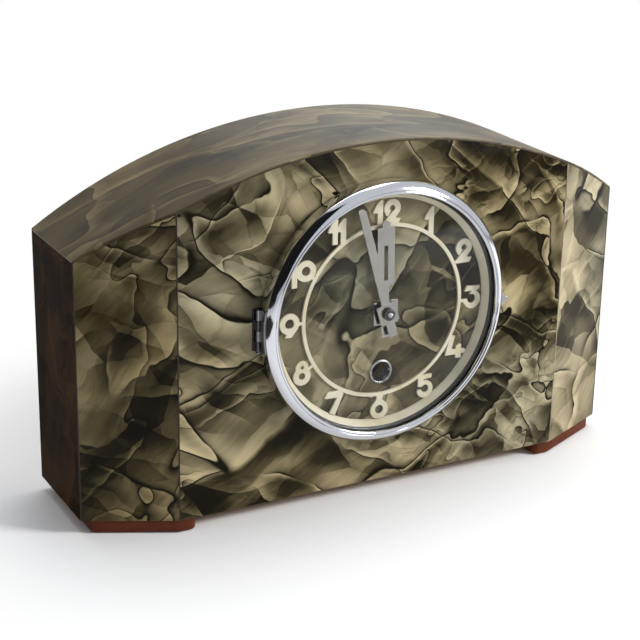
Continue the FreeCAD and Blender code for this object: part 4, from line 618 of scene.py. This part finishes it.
def leave_all():
    if bpy.context.object and bpy.context.object.mode != "OBJECT":
        bpy.ops.object.mode_set(mode="OBJECT")
    bpy.ops.object.select_all(action="DESELECT")


def hold(piece):
    leave_all()
    piece.select_set(True)
    bpy.context.view_layer.objects.active = piece


def new_object(name, data):
    made = bpy.data.objects.new(name, data)
    bpy.context.scene.collection.objects.link(made)
    return made


def take_name(name):
    piece = bpy.context.object
    piece.name = name
    piece.data.name = name
    return piece


def finish_piece(piece, body, finish, replaced=()):
    """Give a shaped piece its finish and its body, and hide the CAD nodes that it stands for."""
    piece.data.materials.clear()
    piece.data.materials.append(finish_of(finish))
    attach(piece, body)
    if replaced:
        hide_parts(*replaced)


def smoothed(angle):
    bpy.ops.object.shade_smooth_by_angle(angle=math.radians(angle))


def rounded(piece, width, segments, angle):
    """Bevel the sharp edges and smooth the rest."""
    hold(piece)
    if width > 0.0:
        bevel = piece.modifiers.new("edges", "BEVEL")
        bevel.width = width
        bevel.segments = segments
        bevel.limit_method = "ANGLE"
        bevel.angle_limit = math.radians(angle)
        bpy.ops.object.modifier_apply(modifier=bevel.name)
    smoothed(angle)
    if width > 0.0:
        flatten = piece.modifiers.new("flat_faces", "WEIGHTED_NORMAL")
        flatten.weight = 100
        flatten.keep_sharp = True
        bpy.ops.object.modifier_apply(modifier=flatten.name)


def dressed(node, name, finish, width=0.0, segments=2, angle=35.0, dissolve=True):
    """A merged copy of a CAD node with rounded edges, which takes the node's place."""
    mesh = frame["nodes"][node].data.copy()
    mesh.name = name
    piece = new_object(name, mesh)
    hold(piece)
    bpy.ops.object.mode_set(mode="EDIT")
    bpy.ops.mesh.select_all(action="SELECT")
    bpy.ops.mesh.remove_doubles(threshold=0.002 * MM)
    if dissolve:
        bpy.ops.mesh.dissolve_limited(angle_limit=math.radians(0.4))
    bpy.ops.object.mode_set(mode="OBJECT")
    rounded(piece, width, segments, angle)
    finish_piece(piece, frame["nodes"][node]["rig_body"], finish, (node,))


def turned(name, profile, centre=(DIAL.x, DIAL.z), closed=True, segments=RING_SEGMENTS, angle=30.0):
    """A ring or disc drawn from a circle by repeated extrudes. The profile lists radius and Y, and runs round
    the section. A closed one joins its last circle to its first, and an open one gets end faces."""
    leave_all()
    radius, first_y = profile[0]
    bpy.ops.mesh.primitive_circle_add(vertices=segments, radius=radius, location=(0, 0, 0),
                                      rotation=(math.pi / 2, 0, 0))
    piece = take_name(name)
    bpy.ops.object.transform_apply(location=True, rotation=True, scale=True)
    bpy.ops.object.mode_set(mode="EDIT")
    bpy.ops.mesh.select_all(action="SELECT")
    depth = 0.0
    for next_radius, next_y in profile[1:]:
        next_depth = next_y - first_y
        bpy.ops.mesh.extrude_region_move(TRANSFORM_OT_translate={"value": (0, next_depth - depth, 0)})
        factor = next_radius / radius
        bpy.ops.transform.resize(value=(factor, 1.0, factor), center_override=(0, next_depth, 0))
        radius, depth = next_radius, next_depth
    bpy.ops.mesh.select_all(action="DESELECT")
    bpy.ops.mesh.select_non_manifold(extend=False)
    if closed:
        bpy.ops.mesh.bridge_edge_loops()
    else:
        bpy.ops.mesh.edge_face_add()
    bpy.ops.mesh.select_all(action="SELECT")
    bpy.ops.mesh.remove_doubles(threshold=0.0005 * MM)
    bpy.ops.mesh.normals_make_consistent(inside=False)
    bpy.ops.object.mode_set(mode="OBJECT")
    piece.data.transform(Matrix.Translation((centre[0], first_y, centre[1])))
    hold(piece)
    smoothed(angle)
    return piece


def arc_points(start, end, bulge, count):
    """Points on a flat arc. The bulge is the rise of its middle over the chord, to the left."""
    start, end = Vector(start), Vector(end)
    chord = end - start
    side = Vector((-chord.y, chord.x)).normalized()
    shares = [step / count for step in range(count + 1)]
    return [tuple(start + chord * share + side * (4.0 * share * (1.0 - share) * bulge)) for share in shares]


def screw_head(name, place, radius, height, slot_turn, body):
    """A domed screw head with a cut slot, facing the back of the clock."""
    x, y, z = place
    profile = [(radius * share, y + height * lift) for share, lift in SCREW_PROFILE]
    head = turned(name, profile, (x, z), closed=False, segments=SCREW_SEGMENTS)
    leave_all()
    bpy.ops.mesh.primitive_cube_add(
        size=1.0, location=(x, y + height, z), rotation=(0, slot_turn, 0),
        scale=(radius * SLOT_LENGTH, height * SLOT_DEPTH, radius * SLOT_WIDTH))
    cutter = take_name(name + "_cutter")
    hold(head)
    cut = head.modifiers.new("slot", "BOOLEAN")
    cut.object = cutter
    cut.operation = "DIFFERENCE"
    cut.solver = "EXACT"
    bpy.ops.object.modifier_apply(modifier=cut.name)
    bpy.data.objects.remove(cutter)
    smoothed(30.0)
    finish_piece(head, body, "arbor_steel")


def arch_z(x):
    """Height of the under side of the top sheet over x."""
    half = (CASE_HIGH.x - CASE_LOW.x) / 2
    rise = CASE_HIGH.z - ARCH_END_Z
    radius = (half ** 2 + rise ** 2) / (2 * rise)
    return CASE_HIGH.z - radius + math.sqrt((radius - SHEET_THICKNESS) ** 2 - x ** 2)


def glue_line(name, points, finish="dark_glue"):
    """A thin bead of glue along a joint, dark by default, which also paints the shade in the joint."""
    curve = bpy.data.curves.new(name, "CURVE")
    curve.dimensions = "3D"
    curve.bevel_depth = sizes().seam_radius
    curve.bevel_resolution = 2
    curve.use_fill_caps = True
    line = curve.splines.new("POLY")
    line.points.add(len(points) - 1)
    for place, point in zip(points, line.points):
        point.co = (*place, 1.0)
    hold(new_object(name, curve))
    bpy.ops.object.convert(target="MESH")
    smoothed(50.0)
    finish_piece(bpy.context.object, "case", finish)


# Operators


class CLOCK_OT_celluloid_sheets(bpy.types.Operator):
    """Six sheets of pearly celluloid over the case"""
    bl_idname = "clock.celluloid_sheets"
    bl_label = "Celluloid sheets"

    def execute(self, context):
        for sheet in ("front", "left_wing", "right_wing", "top", "left_end", "right_end"):
            dressed(f"{sheet}_sheet", f"{sheet}_celluloid", f"{sheet}_pearl", sizes().edge_rounding, 3)
        return {"FINISHED"}


class CLOCK_OT_glue_lines(bpy.types.Operator):
    """Glue lines in the joints between the sheets, dark to also paint the shade in the joints, and pale on
    the right front joint as painted light
    """
    bl_idname = "clock.glue_lines"
    bl_label = "Glue lines"

    def execute(self, context):
        radius = sizes().seam_radius
        sink = radius * 0.75
        front_low, front_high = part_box("front_sheet")
        base_z = front_low.z + radius
        front_y = FRONT_Y + sink
        end_x = CASE_HIGH.x - radius
        end_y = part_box("right_end_sheet")[0].y
        steps, wing_steps = 60, 16
        # The left front joint is painted dark as in shade and the right one pale as lit
        for side, word, finish in ((-1, "left", "dark_glue"), (1, "right", "pale_glue")):
            corner = (side * front_high.x, front_y)
            glue_line(f"{word}_front_seam", [(*corner, base_z), (*corner, arch_z(front_high.x))], finish)
            corner = (side * end_x, end_y + sink * 0.3)
            glue_line(f"{word}_end_seam",
                      [(*corner, base_z), (*corner, arch_z(CASE_HIGH.x - SHEET_THICKNESS))])
        arch = []
        for step in range(steps + 1):
            x = front_low.x + (front_high.x - front_low.x) * step / steps
            arch.append((x, front_y, arch_z(x)))
        glue_line("front_arch_seam", arch)
        for side, word in ((-1, "left"), (1, "right")):
            wing = []
            for step in range(wing_steps + 1):
                share = step / wing_steps
                x = front_high.x + (end_x - front_high.x) * share
                wing.append((side * x, front_y + (end_y - FRONT_Y) * share, arch_z(x)))
            glue_line(f"{word}_wing_seam", wing)
            glue_line(f"{word}_end_top_seam", [(side * end_x, end_y + sink, arch_z(end_x)),
                                               (side * end_x, CASE_HIGH.y - radius, arch_z(end_x))])
        return {"FINISHED"}


class CLOCK_OT_carcass(bpy.types.Operator):
    """Wooden boards under the sheets"""
    bl_idname = "clock.carcass"
    bl_label = "Carcass"

    def execute(self, context):
        for board in ("base", "left_end", "right_end", "left_wing", "right_wing", "front"):
            for slot in frame["nodes"][f"{board}_board"].material_slots:
                slot.material = finish_of("case_wood")
        dressed("top_board", "bent_top_board", "case_wood")
        return {"FINISHED"}


class CLOCK_OT_feet(bpy.types.Operator):
    """Two stained feet"""
    bl_idname = "clock.feet"
    bl_label = "Feet"

    def execute(self, context):
        for side in ("left", "right"):
            dressed(f"{side}_foot", f"{side}_mahogany_foot", "mahogany", angle=50.0)
        return {"FINISHED"}


class CLOCK_OT_rear_door(bpy.types.Operator):
    """Back board, door, hinges, knob and their screws"""
    bl_idname = "clock.rear_door"
    bl_label = "Rear door"

    def execute(self, context):
        for node in ("back_board", "rear_door"):
            dressed(node, f"stained_{node}", "stained_back", sizes().wood_edge)
        for part in ("fixed_leaves", "moving_leaves", "pins"):
            dressed(f"door_hinge_{part}", f"brass_hinge_{part}", "hinge_brass", sizes().hinge_edge)
        dressed("door_knob", "brass_door_knob", "hinge_brass", sizes().hand_edge)
        face_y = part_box("back_board")[1].y + 0.7 * MM
        inset, outer, inner = 3.4 * MM, 5 * MM, 19 * MM
        radius, height = 1.9 * MM, 0.55 * MM
        for word, body in (("fixed", "case"), ("moving", "rear_door")):
            low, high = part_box(f"door_hinge_{word}_leaves")
            x = low.x + inset if word == "fixed" else high.x - inset
            for index, z in enumerate((low.z + outer, low.z + inner, high.z - inner, high.z - outer)):
                screw_head(f"{word}_hinge_screw_{index}", (x, face_y, z), radius, height, 0.5 + 0.7 * index,
                           body)
        return {"FINISHED"}


class CLOCK_OT_dial(bpy.types.Operator):
    """Dial ground, stamped numerals, depth ring and winding eyelet"""
    bl_idname = "clock.dial"
    bl_label = "Dial"

    def execute(self, context):
        dressed("dial_disc", "pearl_dial_ground", "dial_pearl", sizes().hand_edge)
        dressed("numeral_ring", "stamped_numerals", "cream_enamel", sizes().stamped_edge, angle=30.0)
        low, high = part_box("depth_ring")
        outer = (high.x - low.x) / 2
        inner = 56.7 * MM
        lip = 0.6 * MM
        slope = 3.7 * MM
        top = high.y - 4.0 * MM
        face_start = (inner + 0.1 * MM, high.y - 0.5 * MM)
        face_end = (inner + slope - 0.2 * MM, top - lip + 0.15 * MM)
        profile = [(inner, high.y), (inner, high.y - 0.25 * MM)]
        profile += arc_points(face_start, face_end, -0.12 * MM, 8)
        profile += [(inner + slope + 0.1 * MM, low.y), (outer, low.y), (outer, top),
                    (inner + slope + lip, top), (inner + lip, high.y)]
        finish_piece(turned("cream_depth_ring", profile), "case", "cream_satin", ("depth_ring",))
        dressed("winding_eyelet", "nickel_eyelet", "dull_nickel", angle=60.0)
        return {"FINISHED"}


class CLOCK_OT_bezel(bpy.types.Operator):
    """Plated bezel with its base ring and glass retaining ring"""
    bl_idname = "clock.bezel"
    bl_label = "Bezel"

    def execute(self, context):
        rear = BEZEL_HIGH.y
        crest = BEZEL_LOW.y
        radius = BEZEL_RADIUS
        wall = 0.8 * MM
        lip = 60.4 * MM
        seat = GLASS_HIGH.y - GLASS_THICKNESS - 0.05 * MM
        shoulder = crest + 2.7 * MM
        bead = lip + 1.5 * MM
        side_end = (radius, shoulder + 0.5 * MM)
        groove = (bead - 0.1 * MM, crest + 0.5 * MM)
        profile = [(radius, rear), side_end]
        profile += arc_points(side_end, (bead + 0.35 * MM, crest + 0.08 * MM), 0.42 * MM, 12)[1:]
        profile += [(bead + 0.1 * MM, crest + 0.45 * MM), groove]
        profile += arc_points(groove, (lip, crest + 0.8 * MM), 0.45 * MM, 8)[1:]
        profile += [(lip, seat - 0.32 * MM), (lip + 0.4 * MM, seat - 0.05 * MM),
                    (radius - 3.4 * MM, seat), (radius - wall - 0.2 * MM, shoulder),
                    (radius - wall, shoulder + 0.6 * MM), (radius - wall, rear)]
        ring = turned("chrome_bezel", profile, angle=40.0)
        finish_piece(ring, "bezel", "bezel_chrome", ("bezel_ring",))
        dressed("bezel_base_ring", "chrome_base_ring", "bezel_chrome", 0.1 * MM)
        dressed("glass_retaining_ring", "black_retaining_ring", "black_brass", sizes().hinge_edge)
        return {"FINISHED"}


class CLOCK_OT_bezel_fittings(bpy.types.Operator):
    """Small knuckle hinge on the left and pointed finger tab on the right"""
    bl_idname = "clock.bezel_fittings"
    bl_label = "Bezel fittings"

    def execute(self, context):
        # The fixed leaf is painted near black as the shade beside the bezel
        for part, finish in (("fixed_leaf", "hinge_chrome"), ("moving_leaf", "dull_nickel"),
                             ("pin", "dull_nickel")):
            dressed(f"bezel_hinge_{part}", f"chrome_hinge_{part}", finish, 0.06 * MM)
        dressed("bezel_finger_tab", "chrome_finger_tab", "bezel_chrome", 0.25 * MM, 3)
        return {"FINISHED"}


class CLOCK_OT_dial_glass(bpy.types.Operator):
    """Domed glass"""
    bl_idname = "clock.dial_glass"
    bl_label = "Dial glass"

    def execute(self, context):
        rim = GLASS_RADIUS
        pole = 0.02 * MM
        steps = 28
        sphere = (rim ** 2 + GLASS_RISE ** 2) / (2 * GLASS_RISE)

        def dome(radius, base_y):
            return base_y - (GLASS_RISE - (sphere - math.sqrt(sphere ** 2 - radius ** 2)))

        rear = GLASS_HIGH.y
        front = rear - GLASS_THICKNESS
        radii = [rim * (1 - step / steps) + pole * step / steps for step in range(steps + 1)]
        profile = [(radius, dome(radius, rear)) for radius in reversed(radii)]
        profile += [(rim, front + 0.3 * MM)]
        profile += [(radius, dome(radius, front)) for radius in radii]
        finish_piece(turned("domed_glass", profile, angle=60.0), "bezel", "dial_glass", ("glass",))
        return {"FINISHED"}


class CLOCK_OT_hands(bpy.types.Operator):
    """Plated hour and minute hands and the dark nut"""
    bl_idname = "clock.hands"
    bl_label = "Hands"

    def execute(self, context):
        # The hands' darkened plating is a painted reflection
        for node in ("hour_hand", "minute_hand"):
            dressed(node, f"chrome_{node}", "hand_chrome", sizes().hand_edge, angle=30.0)
        low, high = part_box("hand_nut")
        radius = (high.x - low.x) / 2
        bore = 1.1 * MM
        corner = 0.75 * MM
        profile = [(bore, high.y), (radius, high.y), (radius, low.y + corner)]
        profile += arc_points((radius, low.y + corner), (radius - corner, low.y), 0.22 * MM, 5)[1:]
        profile += [(bore + 0.55 * MM, low.y), (bore + 0.2 * MM, low.y + 0.15 * MM),
                    (bore, low.y + 0.5 * MM)]
        nut = turned("blackened_hand_nut", profile, segments=64)
        finish_piece(nut, "minute_arbor", "blackened_nut", ("hand_nut",))
        return {"FINISHED"}


class CLOCK_OT_movement_frame(bpy.types.Operator):
    """Plates, pillars, nuts and screws of the movement"""
    bl_idname = "clock.movement_frame"
    bl_label = "Movement frame"

    def execute(self, context):
        edge = sizes().plate_edge
        for node, metal, finish, width in (
                ("front_plate", "brass", "plate_brass", edge), ("back_plate", "brass", "plate_brass", edge),
                ("pillars", "brass", "wheel_brass", 0.0), ("plate_nuts", "steel", "arbor_steel", edge),
                ("movement_screws", "steel", "arbor_steel", 0.0),
                ("back_plate_screws", "steel", "arbor_steel", edge),
                ("pendulum_cock", "brass", "plate_brass", edge)):
            dressed(node, f"{metal}_{node}", finish, width, 1)
        return {"FINISHED"}


class CLOCK_OT_wheel_train(bpy.types.Operator):
    """Wheels, pinions and arbors of the going train and the motion work"""
    bl_idname = "clock.wheel_train"
    bl_label = "Wheel train"

    def execute(self, context):
        for wheel in ("second", "third", "escape", "centre", "minute", "hour"):
            dressed(f"{wheel}_wheel", f"brass_{wheel}_wheel", "wheel_brass", dissolve=False)
        for node in ("centre_arbor", "cannon_pinion", "anchor"):
            dressed(node, f"steel_{node}", "arbor_steel", dissolve=False)
        return {"FINISHED"}


class CLOCK_OT_winding_work(bpy.types.Operator):
    """Barrel, mainspring, winding arbor, ratchet and click"""
    bl_idname = "clock.winding_work"
    bl_label = "Winding work"

    def execute(self, context):
        dressed("spring_barrel", "brass_spring_barrel", "wheel_brass")
        dressed("mainspring", "blued_mainspring", "blued_steel", dissolve=False)
        for node in ("winding_arbor", "ratchet_wheel", "click"):
            dressed(node, f"steel_{node}", "arbor_steel", dissolve=False)
        dressed("click_spring", "blued_click_spring", "blued_steel", dissolve=False)
        return {"FINISHED"}


class CLOCK_OT_pendulum(bpy.types.Operator):
    """Pendulum rod and bob"""
    bl_idname = "clock.pendulum"
    bl_label = "Pendulum"

    def execute(self, context):
        dressed("pendulum_rod", "steel_pendulum_rod", "arbor_steel")
        dressed("pendulum_bob", "brass_pendulum_bob", "wheel_brass", dissolve=False)
        return {"FINISHED"}


# Stage


def soft_lamp(name, place, aim, size, power):
    light = bpy.data.lights.new(name, "AREA")
    light.shape = "RECTANGLE"
    light.size, light.size_y = size
    light.energy = power
    lamp = new_object(name, light)
    lamp.location = place
    lamp.rotation_euler = (Vector(aim) - Vector(place)).to_track_quat("-Z", "Y").to_euler()


def dark_card(name, place, aim, size, level):
    """A dark card that shows only in the plated parts."""
    leave_all()
    bpy.ops.mesh.primitive_plane_add(size=1.0)
    card = take_name(name)
    turn = (Vector(aim) - Vector(place)).to_track_quat("Z", "Y").to_matrix().to_4x4()
    card.matrix_world = Matrix.Translation(place) @ turn @ Matrix.Diagonal((*size, 1.0, 1.0))
    finish, tree, shader = new_finish(name, Roughness=1.0, Specular_IOR_Level=0.0)
    cloth = noise(tree, placed_coordinates(tree), 40.0)
    feed(tree, shader,
         Base_Color=ramp(tree, cloth.outputs["Fac"], [(0.3, grey(0.85 * level)), (0.7, grey(level))]))
    card.data.materials.append(finish)
    card.visible_camera = False
    card.visible_diffuse = False
    card.visible_transmission = False
    card.visible_shadow = False


def pale_floor():
    """A pale floor that turns to plain white away from the clock, for the camera alone."""
    leave_all()
    bpy.ops.mesh.primitive_plane_add(size=FLOOR_SIZE, location=(0, 0, -FLOOR_DROP))
    floor = take_name("pale_floor")
    finish, tree, shader = new_finish("pale_floor", Roughness=0.9, Specular_IOR_Level=0.1)
    grain = noise(tree, placed_coordinates(tree), 3.0)
    tone = ramp(tree, grain.outputs["Fac"], [(0.0, grey(0.90)), (1.0, grey(0.93))])
    feed(tree, shader, Base_Color=tone)
    away = vector_maths(tree, "LENGTH", placed_coordinates(tree))
    ray = add_node(tree, "ShaderNodeLightPath")
    fade = times(tree, spread(tree, away, *FLOOR_FADE, smooth=True), ray.outputs["Is Camera Ray"])
    white = add_node(tree, "ShaderNodeEmission", {"Color": (*grey(1.0), 1.0), "Strength": 1.0})
    shown_by(tree, shader.outputs["BSDF"], white.outputs["Emission"], fade)
    floor.data.materials.append(finish)


def studio_world(scene):
    """White for the camera and through the glass, a dim fill for the rest, and brighter in glossy parts."""
    scene.world = bpy.data.worlds.new("studio")
    scene.world.use_nodes = True
    tree = scene.world.node_tree
    tree.nodes.clear()
    ray = add_node(tree, "ShaderNodeLightPath")
    seen = larger(tree, ray.outputs["Is Camera Ray"], ray.outputs["Is Transmission Ray"])
    mirrored = times(tree, ray.outputs["Is Glossy Ray"], GLOSSY_EXTRA)
    plain = add_node(tree, "ShaderNodeBackground", {"Color": (*grey(1.0), 1.0), "Strength": 1.0})
    fill = add_node(tree, "ShaderNodeBackground", {"Color": (*FILL_COLOUR, 1.0),
                                                   "Strength": plus(tree, mirrored, FILL_STRENGTH)})
    mixed = add_node(tree, "ShaderNodeMixShader", {0: seen, 1: fill.outputs[0], 2: plain.outputs[0]})
    output = add_node(tree, "ShaderNodeOutputWorld")
    tree.links.new(mixed.outputs[0], output.inputs["Surface"])


def photo_camera(scene):
    """The camera at the photograph's viewing angle."""
    eye = bpy.data.cameras.new("photo_camera")
    camera = new_object("photo_camera", eye)
    forward = Vector(CAMERA_FORWARD).normalized()
    right = forward.cross(Vector(CAMERA_UP)).normalized()
    up = right.cross(forward)
    turn = Matrix((right, up, -forward)).transposed()
    camera.matrix_world = Matrix.Translation(CAMERA_PLACE) @ turn.to_4x4()
    eye.sensor_width = CAMERA_SENSOR
    eye.lens = CAMERA_LENS
    eye.clip_start = CAMERA_CLIP
    scene.camera = camera


class CLOCK_OT_studio(bpy.types.Operator):
    """Pale floor, soft lamps, background and camera"""
    bl_idname = "clock.studio"
    bl_label = "Studio"

    def execute(self, context):
        context.scene.view_settings.view_transform = "Standard"
        pale_floor()
        studio_world(context.scene)
        for lamp in LAMPS:
            soft_lamp(*lamp)
        for card in CARDS:
            dark_card(*card)
        photo_camera(context.scene)
        return {"FINISHED"}


class CLOCK_PT_builder(bpy.types.Panel):
    """Lists the clock's pieces in the order in which they are built"""
    bl_idname = "CLOCK_PT_builder"
    bl_label = "Mantel clock"
    bl_space_type = "VIEW_3D"
    bl_region_type = "UI"
    bl_category = "Clock"

    def draw(self, context):
        column = self.layout.column(align=True)
        for operator in OPERATORS:
            column.operator(operator.bl_idname)
        for group in (context.scene.mantel_clock_sizes, context.scene.mantel_clock_colours):
            box = self.layout.box()
            for key in group.__annotations__:
                box.prop(group, key)


OPERATORS = (CLOCK_OT_celluloid_sheets, CLOCK_OT_glue_lines, CLOCK_OT_carcass, CLOCK_OT_feet,
             CLOCK_OT_rear_door, CLOCK_OT_dial, CLOCK_OT_bezel, CLOCK_OT_bezel_fittings, CLOCK_OT_dial_glass,
             CLOCK_OT_hands, CLOCK_OT_movement_frame, CLOCK_OT_wheel_train, CLOCK_OT_winding_work,
             CLOCK_OT_pendulum, CLOCK_OT_studio)
CLASSES = (ClockSizes, ClockColours, *OPERATORS, CLOCK_PT_builder)


def register():
    for cls in CLASSES:
        bpy.utils.register_class(cls)
    bpy.types.Scene.mantel_clock_sizes = bpy.props.PointerProperty(type=ClockSizes)
    bpy.types.Scene.mantel_clock_colours = bpy.props.PointerProperty(type=ClockColours)


def unregister():
    del bpy.types.Scene.mantel_clock_colours
    del bpy.types.Scene.mantel_clock_sizes
    for cls in reversed(CLASSES):
        bpy.utils.unregister_class(cls)


def main():
    register()
    for operator in OPERATORS:
        group, name = operator.bl_idname.split(".")
        getattr(getattr(bpy.ops, group), name)()
    leave_all()


if __name__ == "__main__":
    main()
